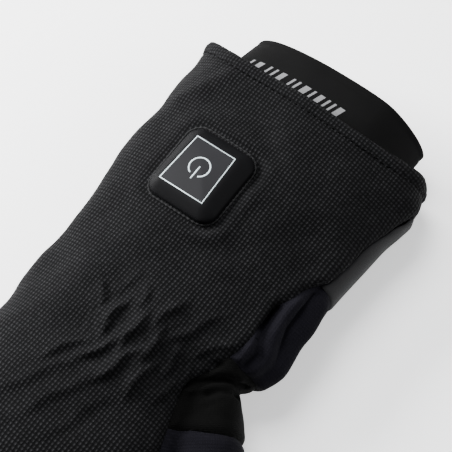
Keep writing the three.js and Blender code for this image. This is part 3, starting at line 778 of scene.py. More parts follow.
@dataclass
class Skin:
    """A triangle mesh as arrays, with fields of one number for each point."""

    points: Array
    faces: Array
    fields: dict[str, Array] = field(default_factory=dict)

    def sides(self) -> Array:
        """The sides of all triangles, as sorted pairs of points: all first sides, then the others."""
        return np.sort(np.concatenate([self.faces[:, [0, 1]], self.faces[:, [1, 2]], self.faces[:, [2, 0]]]), axis=1)

    def edges(self) -> Array:
        """Every edge once, as pairs of points."""
        return np.unique(self.sides(), axis=0)

    def normals(self) -> Array:
        """Smooth outward directions at the points."""
        a, b, c = (self.points[self.faces[:, i]] for i in range(3))
        cross = np.cross(b - a, c - a)
        total = np.zeros_like(self.points)
        for i in range(3):
            np.add.at(total, self.faces[:, i], cross)
        return total / np.maximum(np.linalg.norm(total, axis=1), 1e-15)[:, None]

    def relaxed(self, rounds: int) -> None:
        """Smooths the points without shrinking the form.

        Args:
            rounds: How many times a smoothing and a swelling step are made.
        """
        edges = self.edges()
        count = np.bincount(edges.ravel(), minlength=len(self.points))[:, None]
        for weight in (0.5, -0.52) * rounds:
            total = np.zeros_like(self.points)
            np.add.at(total, edges[:, 0], self.points[edges[:, 1]])
            np.add.at(total, edges[:, 1], self.points[edges[:, 0]])
            self.points = self.points + weight * (total / count - self.points)

    def cut(self, name: str, snap: float) -> None:
        """Splits the triangles along the line where a field is zero.

        Args:
            name: The field.
            snap: Values nearer zero than this are taken as zero.
        """
        value = self.fields[name]
        value = np.where(np.abs(value) < snap, 0.0, value)
        self.fields[name] = value
        sign = np.sign(value)[self.faces]
        mixed = (sign.max(1) > 0) & (sign.min(1) < 0)
        faces, sign = self.faces[mixed], sign[mixed]
        through = (sign == 0).any(1)
        lone = np.where((sign > 0).sum(1) == 1, 1, -1)
        lead = np.where(through, np.argmax(sign == 0, 1), np.argmax(sign == lone[:, None], 1))
        a, b, c = (faces[np.arange(len(faces)), (lead + k) % 3] for k in range(3))
        whole = ~through
        split = np.concatenate([np.stack([b, c], 1)[through], np.stack([a, b], 1)[whole], np.stack([a, c], 1)[whole]])
        ends, index = np.unique(np.sort(split, axis=1), axis=0, return_inverse=True)
        index = index.reshape(-1) + len(self.points)
        share = value[ends[:, 0]] / (value[ends[:, 0]] - value[ends[:, 1]])
        low, high = self.points[ends[:, 0]], self.points[ends[:, 1]]
        self.points = np.concatenate([self.points, low + share[:, None] * (high - low)])
        for key, data in self.fields.items():
            between = data[ends[:, 0]] + share * (data[ends[:, 1]] - data[ends[:, 0]])
            self.fields[key] = np.concatenate([data, 0.0 * between if key == name else between])
        first, second = int(through.sum()), int(whole.sum())
        m, p, q = index[:first], index[first:first + second], index[first + second:]
        self.faces = np.concatenate([
            self.faces[~mixed],
            np.stack([a[through], b[through], m], 1), np.stack([a[through], m, c[through]], 1),
            np.stack([a[whole], p, q], 1), np.stack([p, b[whole], c[whole]], 1), np.stack([p, c[whole], q], 1)])


def polyline_side(points: Array, line: Array) -> Array:
    """The signed distance of points from a line of corners, level with the floor.

    Args:
        points: The points.
        line: The line's corners, from the cuff to the fingertips or from right to left.

    Returns:
        The distance, positive on the line's right-hand side.
    """
    best = np.full(len(points), np.inf)
    signed = np.zeros(len(points))
    for start, end in zip(line[:-1], line[1:]):
        away = from_segment(points[:, :2], start, end)
        distance = np.hypot(away[:, 0], away[:, 1])
        turn = aside(away, end - start)
        nearer = distance < best - 1e-9
        best = np.where(nearer, distance, best)
        signed = np.where(nearer, np.sign(turn) * distance, signed)
    return signed


def new_piece(
    name: str, points: Array, faces: Array | list[list[int]], material: bpy.types.Material, slot: Slot,
    cloth: Array | None = None,
) -> bpy.types.Object:
    """Makes an object that rides on the glove's one body.

    Args:
        name: The piece's name.
        points: Its points in the row's frame.
        faces: Its faces as corner numbers.
        material: Its finish.
        slot: The record's slot meant for its finish; not used.
        cloth: Coordinates of each point in the cloth, in metres, if it is cloth.

    Returns:
        The object.
    """
    mesh = bpy.data.meshes.new(name)
    mesh.from_pydata(points.tolist(), [], faces.tolist() if isinstance(faces, np.ndarray) else faces)
    mesh.validate()
    if cloth is not None:
        layer = mesh.uv_layers.new(name="Cloth")
        corners = np.zeros(len(mesh.loops), np.int32)
        mesh.loops.foreach_get("vertex_index", corners)
        layer.data.foreach_set("uv", np.asarray(cloth, np.float32)[corners].ravel())
    mesh.polygons.foreach_set("use_smooth", [True] * len(mesh.polygons))
    mesh.materials.append(material)
    piece = bpy.data.objects.new(name, mesh)
    bpy.context.scene.collection.objects.link(piece)
    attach(piece, "root")
    log.info("%s: %d faces", name, len(mesh.polygons))
    return piece


def declare_sheet(piece: bpy.types.Object, cloth: Array, points: Array, faces: Array, held: str, rest: str) -> None:
    """Says what size a piece of cloth was cut to.

    Args:
        piece: The piece.
        cloth: The coordinates of its points in the cloth, in metres.
        points: Its points.
        faces: Its triangles, on one side of the cloth only.
        held: How the cloth is held; not used.
        rest: What it rests on; not used.
    """
    a, b, c = (points[faces[:, i]] for i in range(3))
    area = 0.5 * float(np.linalg.norm(np.cross(b - a, c - a), axis=1).sum())
    width, length = (float(size) for size in np.ptp(cloth, axis=0))
    width = max(width, area / length)
    log.info("%s: cut from %.0f by %.0f mm, %.0f square cm", piece.name, width / MM, length / MM, area * 1e4)


def loft_faces(rings: int, sides: int, closed: bool = False, lids: bool = False, base: int = 0) -> list[list[int]]:
    """Quads over a row of rings of points.

    Args:
        rings: How many rings.
        sides: How many points in each.
        closed: Whether the last ring joins the first.
        lids: Whether one face shuts each end.
        base: The number of the first point.

    Returns:
        The faces.
    """
    faces = []
    for r in range(rings if closed else rings - 1):
        low, high = base + r * sides, base + ((r + 1) % rings) * sides
        faces += [[low + i, low + (i + 1) % sides, high + (i + 1) % sides, high + i] for i in range(sides)]
    if lids:
        last = base + (rings - 1) * sides
        faces += [[base + i for i in reversed(range(sides))], [last + i for i in range(sides)]]
    return faces


def grid_faces(rows: int, columns: int, base: int = 0) -> list[list[int]]:
    """Quads over rows and columns of points, from the number of the first point."""
    starts = [base + r * columns + c for r in range(rows - 1) for c in range(columns - 1)]
    return [[i, i + 1, i + columns + 1, i + columns] for i in starts]


@dataclass(frozen=True)
class Fold:
    """One gather of the wrist elastic: its middle, in metres, and its form."""

    x: float
    y: float
    reach: float
    width: float
    lift: float
    slant: float

    def height(self, x: Array, y: Array) -> Array:
        """The cloth's rise at places: a steep ridge with a hollow on its thumb side.

        Args:
            x: Places across the hand.
            y: Places along the hand.

        Returns:
            The rise in metres.
        """
        angle = math.radians(self.slant)
        across = (x - self.x) * math.cos(angle) - (y - self.y) * math.sin(angle)
        along = (x - self.x) * math.sin(angle) + (y - self.y) * math.cos(angle)
        u = across + 0.7 * MM * np.sin(along / (2.9 * MM) + 900 * self.x)
        steep = bell(u, 0.5 * self.width)
        ridge = np.where(u > 0, np.exp(-np.maximum(u, 0) / (1.8 * self.width)), steep)
        hollow = bell(u + 1.3 * self.width, 0.5 * self.width)
        ends = np.exp(-np.abs(along / self.reach) ** 3)
        tail = 0.22 * bell(across, 2.0 * self.width) * bell(along, 2.0 * self.reach)
        return self.lift * (0.94 * ends * (ridge - 0.12 * hollow) + 0.8 * tail)


@dataclass(frozen=True)
class Crease:
    """A long fold or crease along a path on the cloth: raised where its lift is positive."""

    path: Array
    width: float
    lift: float

    def height(self, points: Array) -> Array:
        """The cloth's rise at points.

        Args:
            points: The points.

        Returns:
            The rise in metres.
        """
        near = np.full(len(points), np.inf)
        for start, end in zip(self.path[:-1], self.path[1:]):
            near = np.minimum(near, np.linalg.norm(from_segment(points, start, end), axis=1))
        return self.lift * bell(near, self.width)


@dataclass
class Relief:
    """The folds, gathers, hems and wrinkles that stand on the smooth form."""

    form: GloveForm
    gathers: tuple[Fold, ...] = tuple(
        Fold(x * MM, y * MM, reach * MM, width * MM, lift * MM, slant)
        for x, y, reach, width, lift, slant in (
            (14.6, 119.5, 4.5, 1.5, 1.5, -32),
            (5.7, 124.6, 7.4, 1.7, 2.5, 1),
            (-3.7, 124.4, 7.6, 1.7, 2.7, -4),
            (-12.2, 124.4, 6.8, 1.7, 2.8, -5),
            (-20.9, 124.4, 6.2, 1.6, 2.4, -3),
            (-28.0, 125.5, 5.0, 1.4, 1.3, -6),
            (1.0, 111.5, 5.0, 1.5, 1.1, -6),
            (-9.7, 111.2, 7.5, 1.9, 1.5, 13),
            (-20.0, 110.6, 11.0, 2.2, 1.5, 27),
            (-29.5, 112.0, 10.0, 2.0, 1.1, 36),
            (9.8, 110.5, 6.0, 1.8, 0.7, 4),
            (12.5, 143.5, 9.0, 2.1, 1.4, 32),
            (1.9, 136.8, 7.5, 1.8, 2.1, 25),
            (-6.4, 139.0, 8.5, 1.8, 2.4, 18),
            (-16.2, 137.2, 7.2, 1.7, 2.3, 0),
            (-25.5, 134.2, 5.6, 1.6, 1.9, -2),
            (14.0, 157.0, 16.0, 3.0, 0.8, 30),
            (3.5, 158.0, 15.0, 2.8, 0.9, 24),
            (-7.0, 160.0, 14.0, 2.8, 0.7, 18),
        )
    )
    creases: tuple[Crease, ...] = tuple(
        Crease(MM * np.array(path), width * MM, lift * MM)
        for width, lift, path in (
            (2.6, 1.9, ((-50.8, 72, 24.5), (-50.6, 80, 24), (-50.8, 88, 23.5), (-52, 96, 23), (-53.5, 103, 22),
                        (-52, 108, 21))),
            (0.85, -2.3, ((-47.2, 71, 30.1), (-46.5, 78.8, 30.3), (-46.9, 88, 29.6), (-49.9, 96, 28.3),
                          (-51.7, 102.6, 27.2), (-50, 107, 26.3))),
            (1.9, 1.7, ((-43.6, 78, 32), (-43.2, 88, 31.6), (-45.8, 96, 31.4), (-48.2, 102.6, 29.8),
                        (-46.4, 107.5, 29))),
            (1.2, -3.8, ((-39.4, 85, 32.8), (-40.1, 93.7, 33.3), (-42.7, 100.1, 33.4), (-44.4, 103.5, 31.3),
                         (-42.9, 108.2, 30.7))),
            (1.4, 1.0, ((-38.6, 97, 34), (-39.6, 103, 33.4), (-39.4, 109, 32))),
            (0.8, -1.6, ((-51.4, 84, 17), (-53.4, 94, 17), (-54.6, 103, 16.5))),
            (0.9, -2.1, ((-29, 127.2, 29.9), (-33, 123.6, 29), (-35.9, 120.3, 28.6), (-38.4, 117.6, 27.6),
                         (-41.9, 115, 25.9), (-46, 113, 21))),
            (1.2, 1.3, ((-31.2, 128, 29.3), (-35.2, 123.9, 28.9), (-39.2, 120.2, 28.5), (-42.8, 117, 25.8))),
            (1.0, -2.6, ((-37.6, 125, 29.4), (-39.8, 121.8, 29), (-42.5, 120.1, 28), (-44.3, 118.2, 25.9),
                         (-46, 117.4, 21))),
            (0.8, -1.4, ((-33.2, 115.4, 31.7), (-36.1, 114.5, 31.3), (-37.6, 115.3, 30.4), (-37.6, 117.1, 28.9))),
            (1.3, 1.2, ((-34.6, 117.6, 30.6), (-40, 113.4, 30), (-43.5, 112.4, 27))),
            (0.8, -0.5, ((-40.1, 129.4, 29.4), (-42.1, 126.1, 29.4), (-44.2, 123, 28.4))),
            (3.4, -1.1, ((31, 31, 38.6), (20, 27.5, 40), (8, 28.5, 41), (-1.5, 38, 41.5), (-4, 50, 41.5))),
            (2.6, 0.9, ((44, 36, 33), (38, 25, 36), (33, 18, 37.5))),
            (4.0, -0.8, ((-15.3, 77, 38.7), (-25.7, 65, 38.4), (-35.7, 52.8, 36.8))),
            (5.0, -0.9, ((-4, 163, 38.6), (-17.4, 150, 36.6), (-31, 142, 31.5))),
        )
    )
    hem: float = 5.5 * MM
    hem_rise: float = 0.45 * MM
    hem_groove: float = 0.5 * MM
    hem_round: float = 0.8 * MM
    sewn_rows: tuple[float, float] = (131.3 * MM, 117.5 * MM)
    joints: tuple[float, float] = (0.47, 0.72)

    def gathered(self, x: Array, y: Array, z: Array) -> Array:
        """The wrist's gathers, the crinkle between them and the two sewn-down lines.

        Args:
            x: Places across the hand.
            y: Places along the hand.
            z: Places above the floor.

        Returns:
            The rise in metres.
        """
        total = sum(fold.height(x, y) for fold in self.gathers)
        zone = bell(y - 127 * MM, 11 * MM) * plateau((-34 * MM, -26 * MM), (12 * MM, 20 * MM), x)
        across = np.sin((x + 0.25 * y) / (0.55 * MM) + 1.6 * np.sin(y / (1.9 * MM)))
        total = total + 0.2 * MM * zone * across * np.sin(y / (1.25 * MM) + 0.1 * x / MM)
        far, near = self.sewn_rows
        sewn = bell(y - far + 0.04 * x, 1.2 * MM) + bell(y - near, 1.4 * MM)
        total -= 0.5 * MM * plateau((-38 * MM, -26 * MM), (12 * MM, 24 * MM), x) * sewn
        return smoothstep(0.55, 0.8, z / self.form.height) * total

    def knuckles(self, points: Array) -> Array:
        """Shallow wrinkles over the finger joints.

        Args:
            points: The points, in the design's frame.

        Returns:
            The rise in metres.
        """
        total = np.zeros(len(points))
        for finger in self.form.fingers:
            root, heading, length = self.form.finger_line(finger)
            away = points - root
            along = (away[:, :2] @ heading[:2]) / length
            side = np.abs(aside(away, heading))
            mine = 1 - smoothstep(0.5 * self.form.finger_width, 0.6 * self.form.finger_width, side)
            for joint in self.joints:
                wave = np.cos((along - joint) * length / (1.1 * MM))
                wander = 0.6 + 0.4 * np.cos(side / (3.1 * MM) + 5 * joint)
                total += mine * 0.35 * MM * wander * wave * bell((along - joint) * length, 5 * MM)
        return total

    def lip(self, points: Array) -> Array:
        """The knit's edge, lifted where it laps over the cuff tab.

        Args:
            points: The points, in the design's frame.

        Returns:
            The rise in metres.
        """
        x, y, z = points.T
        side = np.minimum(polyline_side(points, self.form.back_edge), z - self.form.side_seam)
        along = plateau((8 * MM, 18 * MM), (62 * MM, 74 * MM), y) * (x < 0)
        lift = 0.6 * MM + 1.1 * MM * smoothstep(44 * MM, 58 * MM, y)
        return lift * along * plateau((-0.6 * MM, 0.3 * MM), (2 * MM, 9 * MM), side)

    def undulation(self, points: Array) -> Array:
        """The soft waviness of cloth that has been handled.

        Args:
            points: The points, in the design's frame.

        Returns:
            The rise in metres.
        """
        seed = np.random.default_rng(11)
        total = np.zeros(len(points))
        for size, lift in ((48, 0.5), (31, 0.42), (21, 0.3), (14, 0.16), (9, 0.07)):
            for _ in range(4):
                heading = seed.normal(size=3)
                heading /= np.linalg.norm(heading) * size * MM / (2 * math.pi)
                total += 0.5 * lift * MM * np.sin(points @ heading + seed.uniform(0, 6.28))
        return total

    def hemmed(self, points: Array) -> Array:
        """The cuff's folded hem: thicker cloth, a sewn groove and a rounded edge.

        Args:
            points: The points, in the design's frame.

        Returns:
            The rise in metres.
        """
        inside = points[:, 1] - self.form.cuff_edge(points)
        rise = self.hem_rise * (1 - smoothstep(self.hem - 1 * MM, self.hem + 1 * MM, inside))
        groove = self.hem_groove * bell(inside - self.hem, 0.7 * MM)
        edge = self.hem_round * np.exp(-((np.maximum(inside, 0) / (1.1 * MM)) ** 2))
        pucker = 0.12 * MM * np.cos(points[:, 0] / (0.48 * MM)) * bell(inside - self.hem, 1.4 * MM)
        return rise - groove - edge + pucker

    def height(self, points: Array, button: "Seat") -> Array:
        """The whole relief at points of the smooth skin, in the design's frame.

        Args:
            points: The points.
            button: The power button's seat, round which the cloth swells.

        Returns:
            The rise along the skin's normals, in metres.
        """
        x, y, z = points.T
        away = button.distance(points)
        above = smoothstep(0.5, 0.7, z / self.form.height)
        side = 0.75 + 0.45 * np.tanh((self.form.half_width * 0.3 - x) / (9 * MM))
        swell = above * side * (0.8 * MM * bell(away - 5.6 * MM, 2.1 * MM) - 0.9 * MM * bell(away - 1.7 * MM, 1.1 * MM))
        calm = 1 - 0.8 * above * bell(np.maximum(away, 0), 5 * MM)
        return (
            self.gathered(x, y, z) + self.knuckles(points) + self.lip(points)
            + sum(crease.height(points) for crease in self.creases)
            + calm * self.undulation(points) + self.hemmed(points) + swell
        )


@dataclass
class Seat:
    """Where the power button sits on the back, and how it leans."""

    form: GloveForm
    width: float = 30.6 * MM
    length: float = 33.4 * MM
    corner: float = 5.8 * MM
    sink: float = 1.4 * MM
    along: float = 0.2825 * GloveForm.length
    turn: float = 0.1892

    def __post_init__(self) -> None:
        """Finds the seat's point and lean on the smooth form."""
        self.point = self.form.on_cloth(self.along, self.turn, -self.sink)
        low, high = (self.form.on_cloth(self.along, self.turn + step, 0.0) for step in (-0.03, 0.03))
        self.lean = -math.atan2(low[2] - high[2], low[0] - high[0])

    def distance(self, points: Array) -> Array:
        """How far points lie outside the button's outline, seen from above."""
        x = np.abs(points[:, 0] - self.point[0]) / math.cos(self.lean) - self.width / 2 + self.corner
        y = np.abs(points[:, 1] - self.point[1]) - self.length / 2 + self.corner
        outside = np.hypot(np.maximum(x, 0), np.maximum(y, 0)) - self.corner
        return outside + np.minimum(np.maximum(x, y), 0)

    def placed(self, points: Array) -> Array:
        """Moves points from the button's own flat frame to the design's frame."""
        cos, sin = math.cos(self.lean), math.sin(self.lean)
        x, y, z = np.asarray(points, float).T
        return np.stack([x * cos + z * sin, y, z * cos - x * sin], 1) + self.point

    def outline(self, out: float, count: int) -> Array:
        """Evenly spaced points of the rounded outline, moved outwards by a distance."""
        return rounded_outline(self.width + 2 * out, self.length + 2 * out, self.corner + out, count)


def rounded_outline(width: float, length: float, corner: float, count: int) -> Array:
    """Evenly spaced points round a rectangle with rounded corners.

    Args:
        width: The rectangle's width.
        length: Its length.
        corner: The radius of its corners.
        count: How many points.

    Returns:
        The points, in turn against the clock.
    """
    corners = []
    for k, (sx, sy) in enumerate(((1, 1), (-1, 1), (-1, -1), (1, -1))):
        arc = np.linspace(k * math.pi / 2, (k + 1) * math.pi / 2, 13)
        middle = np.array([sx * (width / 2 - corner), sy * (length / 2 - corner)])
        corners.append(middle + corner * np.stack([np.cos(arc), np.sin(arc)], 1))
    path = np.concatenate(corners + [corners[0][:1]])
    run = run_length(path)
    return at_runs(path, run, np.linspace(0, run[-1], count, endpoint=False))


PANELS = {  # finish, slot, how the cloth is held, and what it rests on
    Panel.BACK: ("knit", Slot.KNIT, "gathered", "palm_panel"),
    Panel.PALM: ("fleece", Slot.FLEECE, "laid", "floor"),
    Panel.GUSSET: ("fleece", Slot.FLEECE, "folded", "palm_panel"),
    Panel.STRIP: ("stretch", Slot.STRETCH, "stretched", "palm_panel"),
    Panel.BASE: ("stretch", Slot.STRETCH, "folded", "palm_panel"),
    Panel.COVER: ("fleece", Slot.FLEECE, "stretched", "thumb_base"),
}


@dataclass
class Shell:
    """The glove's cloth: one skin, joined from its tubes, creased, and cut into panels."""

    form: GloveForm
    finishes: Finishes
    seat: Seat
    voxel: float = 0.95 * MM
    thickness: float = 1.7 * MM
    snap: float = 0.12 * MM
    cuts: tuple[str, ...] = ("cuff", "palm", "side", "edge", "gusset", "seam", "ulnar")
    gusset_end: float = 0.515
    strip_start: float = 0.7
    ulnar_end: float = 0.93
    seam_depth: float = 0.85 * MM
    seam_width: float = 1.15 * MM
    seam_swell: float = 0.3 * MM

    def joined(self) -> Skin:
        """The tubes joined into one closed skin of small even faces."""
        points: list[list[float]] = []
        faces: list[list[int]] = []
        tubes = [self.form.body_rings(), self.form.thumb_rings()]
        tubes += [self.form.finger_rings(finger) for finger in self.form.fingers]
        for rings in tubes:
            faces += loft_faces(len(rings), len(rings[0]), lids=True, base=len(points))
            points += np.concatenate(rings).tolist()
        mesh = bpy.data.meshes.new("tubes")
        mesh.from_pydata(points, [], faces)
        tool = bpy.data.objects.new("tubes", mesh)
        bpy.context.scene.collection.objects.link(tool)
        remesh = tool.modifiers.new("join", "REMESH")
        remesh.mode = "VOXEL"
        remesh.voxel_size = self.voxel * 1.0
        made = tool.evaluated_get(bpy.context.evaluated_depsgraph_get()).to_mesh()
        made.calc_loop_triangles()
        corners = np.zeros(3 * len(made.vertices))
        made.vertices.foreach_get("co", corners)
        triangles = np.zeros(3 * len(made.loop_triangles), np.int32)
        made.loop_triangles.foreach_get("vertices", triangles)
        skin = Skin(corners.reshape(-1, 3), triangles.reshape(-1, 3).astype(int))
        bpy.data.objects.remove(tool)
        bpy.data.meshes.remove(mesh)
        skin.relaxed(5)
        log.info("joined skin: %d faces", len(skin.faces))
        return skin

    def measure(self, skin: Skin) -> None:
        """Writes the fields that the panels are cut along, and the cloth's own coordinates.

        Args:
            skin: The skin that gets the fields.
        """
        form, points = self.form, skin.points
        _, y, z = points.T
        across, along = form.cloth(points)
        thumb_across, thumb_along = form.thumb_cloth(points)
        skin.fields = {
            "cuff": y - form.cuff_edge(points),
            "palm": z - form.palm_seam,
            "side": z - form.side_seam,
            "edge": polyline_side(points, form.back_edge),
            "gusset": y - self.gusset_end * form.length,
            "seam": -polyline_side(points, form.thumb_seam[::-1]),
            "ulnar": y - self.ulnar_end * form.length,
            "across": across,
            "along": along,
            "thumb_across": thumb_across,
            "thumb_along": thumb_along,
        }

    def panels(self, skin: Skin) -> Array:
        """Finds the panel that each face belongs to.

        Args:
            skin: The skin, cut along its fields.

        Returns:
            The numbers, in the order of Panel, or -1 past the cuff.
        """
        over = {name: skin.fields[name][skin.faces].sum(1) > 0 for name in self.cuts}
        x, y = (skin.points[skin.faces, i].mean(1) for i in range(2))
        middle = over["palm"] & ~over["side"]
        back = (over["side"] & over["edge"]) | (middle & (x > 0) & ~over["ulnar"])
        strip = middle & ~back & ((x > 0) | (over["edge"] & (y > self.strip_start * self.form.length)))
        thumb_side = over["palm"] & ~back & ~strip
        number = {panel: i for i, panel in enumerate(Panel)}
        order = np.full(len(skin.faces), number[Panel.PALM])
        order[back] = number[Panel.BACK]
        order[strip] = number[Panel.STRIP]
        order[thumb_side] = number[Panel.COVER]
        order[thumb_side & ~over["seam"]] = number[Panel.BASE]
        order[thumb_side & ~over["gusset"]] = number[Panel.GUSSET]
        order[~over["cuff"]] = -1
        return order

    def build(self) -> Skin:
        """Builds, creases and cuts the skin, and makes one object for each panel.

        Returns:
            The finished skin in the design's frame, for pieces that are seated on it.
        """
        skin = self.joined()
        self.measure(skin)
        height = Relief(self.form).height(skin.points, self.seat)
        skin.points = skin.points + skin.normals() * height[:, None]
        for name in self.cuts:
            skin.cut(name, self.snap)
        order = self.panels(skin)
        self.groove(skin, order)
        skin.points[:, 2] = np.maximum(skin.points[:, 2], 0.05 * MM)
        for number, panel in enumerate(Panel):
            self.panel(skin, order == number, panel)
        skin.faces = skin.faces[order >= 0]
        return skin

    def groove(self, skin: Skin, order: Array) -> None:
        """Draws the cloth in along the seams, and lets it swell beside them.

        Args:
            skin: The skin, cut into panels.
            order: The number of each face's panel.
        """
        keys = skin.sides()
        owners = np.tile(order, 3)
        sort = np.lexsort((keys[:, 1], keys[:, 0]))
        keys, owners = keys[sort], owners[sort]
        same = (keys[1:] == keys[:-1]).all(1)
        parted = same & (owners[1:] != owners[:-1]) & (owners[1:] >= 0) & (owners[:-1] >= 0)
        seam = np.unique(keys[1:][parted])
        tree = KDTree(len(seam))
        for i in seam:
            tree.insert(skin.points[i], int(i))
        tree.balance()
        distance = np.array([tree.find(point)[2] for point in skin.points])
        dip = self.seam_depth * np.exp(-((distance / self.seam_width) ** 2))
        swell = self.seam_swell * bell(distance - 3.4 * MM, 1.4 * MM)
        skin.points -= skin.normals() * (dip - swell)[:, None]

    def panel(self, skin: Skin, mine: Array, panel: Panel) -> None:
        """Makes one panel's object.

        Args:
            skin: The whole skin.
            mine: Which faces are the panel's.
            panel: Which panel it is.
        """
        finish, slot, held, neighbour = PANELS[panel]
        used, faces = np.unique(skin.faces[mine], return_inverse=True)
        prefix = "thumb_" if panel in (Panel.BASE, Panel.COVER) else ""
        cloth = np.stack([skin.fields[prefix + "across"], skin.fields[prefix + "along"]], 1)[used]
        points = skin.points[used] + self.form.origin
        piece = new_piece(panel.value + "_cloth", points, faces.reshape(-1, 3), getattr(self.finishes, finish),
                          slot, cloth)
        nodes = [panel.value] + (["button_frame"] if panel is Panel.BACK else [])
        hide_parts(*nodes)
        declare_sheet(piece, cloth, points, faces.reshape(-1, 3), held, neighbour)
        wall = piece.modifiers.new("wall", "SOLIDIFY")
        wall.thickness = self.thickness
        wall.offset = -1.0
        wall.use_rim = True


@dataclass
class Tufts:
    """Many small stitches joined into one mesh."""

    points: list[Array] = field(default_factory=list)
    faces: list[list[int]] = field(default_factory=list)
    count: int = 0

    def add(self, start: Array, end: Array, up: Array, radius: float, sink: float = 0.3) -> None:
        """Adds one stitch between two points: a short arched thread.

        Args:
            start: Where the thread leaves the cloth.
            end: Where it goes back in.
            up: The direction out of the cloth.
            radius: The thread's radius.
            sink: How deep its ends lie, in radii.
        """
        run = end - start
        side = np.cross(up, run)
        side /= max(np.linalg.norm(side), 1e-12)
        rings = []
        for t in (0.0, 0.12, 0.35, 0.65, 0.88, 1.0):
            rise = radius * (1.15 * math.sin(math.pi * t) - sink)
            girth = radius * (0.45 if t in (0.0, 1.0) else 1.0)
            rings.append(hoop(start + run * t + up * rise, side, up, girth, 6))
        self.add_tube(rings)

    def add_tube(self, rings: list[Array], closed: bool = False) -> None:
        """Adds a tube over a row of rings, with its ends shut if it isn't a closed loop."""
        self.add_faces(np.concatenate(rings), loft_faces(len(rings), len(rings[0]), closed, not closed, self.count))

    def add_faces(self, points: Array, faces: list[list[int]]) -> None:
        """Adds points, and faces that are numbered from the count of the points before them."""
        self.points.append(points)
        self.faces += faces
        self.count += len(points)

    def piece(self, name: str, origin: Array, material: bpy.types.Material, slot: Slot) -> bpy.types.Object:
        """Makes the joined mesh's object."""
        return new_piece(name, np.concatenate(self.points) + origin, self.faces, material, slot)


@dataclass
class Stitching:
    """The sewing that shows: the hem's row of stitches, and the edging round the button."""

    form: GloveForm
    finishes: Finishes
    seat: Seat
    skin: Skin
    pitch: float = 2.9 * MM
    length: float = 1.9 * MM
    radius: float = 0.24 * MM
    edging_out: float = 0.75 * MM
    edging_radius: float = 0.4 * MM

    def __post_init__(self) -> None:
        """Prepares to seat points on the finished skin."""
        self.tree = BVHTree.FromPolygons(self.skin.points.tolist(), self.skin.faces.tolist())

    def seated(self, points: Array) -> tuple[Array, Array]:
        """The nearest points on the cloth, and the directions out of it."""
        found = [self.tree.find_nearest(Vector(point)) for point in points]
        return np.array([hit[0][:] for hit in found]), np.array([hit[1][:] for hit in found])

    @staticmethod
    def evenly(path: Array, pitch: float) -> Array:
        """Points at an even pitch along a path."""
        run = run_length(path)
        return at_runs(path, run, np.linspace(0, run[-1], max(2, round(run[-1] / pitch)) + 1))

    def row(self, path: Array, tufts: Tufts) -> None:
        """Sews a row of stitches along a path over the cloth.

        Args:
            path: The path.
            tufts: The mesh that gets the stitches.
        """
        steps = self.evenly(path, self.pitch)
        half = 0.5 * self.length / self.pitch
        middle = (steps[1:] + steps[:-1]) / 2
        run = steps[1:] - steps[:-1]
        start, up = self.seated(middle - half * run)
        end, _ = self.seated(middle + half * run)
        for a, b, n in zip(start, end, up):
            tufts.add(a, b, n, self.radius)

    def build(self) -> None:
        """Sews the hem and edges the button's opening."""
        turns = np.linspace(0, 2 * math.pi, 400)
        rim = self.form.ring(0.0, turns)
        inside = self.form.cuff_edge(rim) + Relief.hem
        hem = np.array([self.form.ring(float(y), np.array([turn]))[0] for y, turn in zip(inside, turns)])
        tufts = Tufts()
        self.row(hem, tufts)
        tufts.piece("hem_stitches", self.form.origin, self.finishes.thread, Slot.KNIT)
        self.edging()

    def edging(self) -> None:
        """The fine overcast rim of the cloth's edge round the button."""
        outline = self.seat.outline(self.edging_out, 240)
        flat = np.column_stack([outline, np.zeros(len(outline))])
        path, up = self.seated(self.seat.placed(flat))
        for _ in range(6):
            path, up = ((np.roll(a, 1, 0) + 2 * a + np.roll(a, -1, 0)) / 4 for a in (path, up))
        up = unit(up)
        side = np.cross(unit(np.roll(path, -1, 0) - np.roll(path, 1, 0)), up)
        girths = [self.edging_radius * (1 + 0.45 * math.cos(2 * math.pi * i / 4)) for i in range(len(path))]
        tufts = Tufts()
        tufts.add_tube([hoop(path[i], side[i], up[i], girth, 8) for i, girth in enumerate(girths)], closed=True)
        tufts.piece("button_edging", self.form.origin, self.finishes.edging, Slot.KNIT)


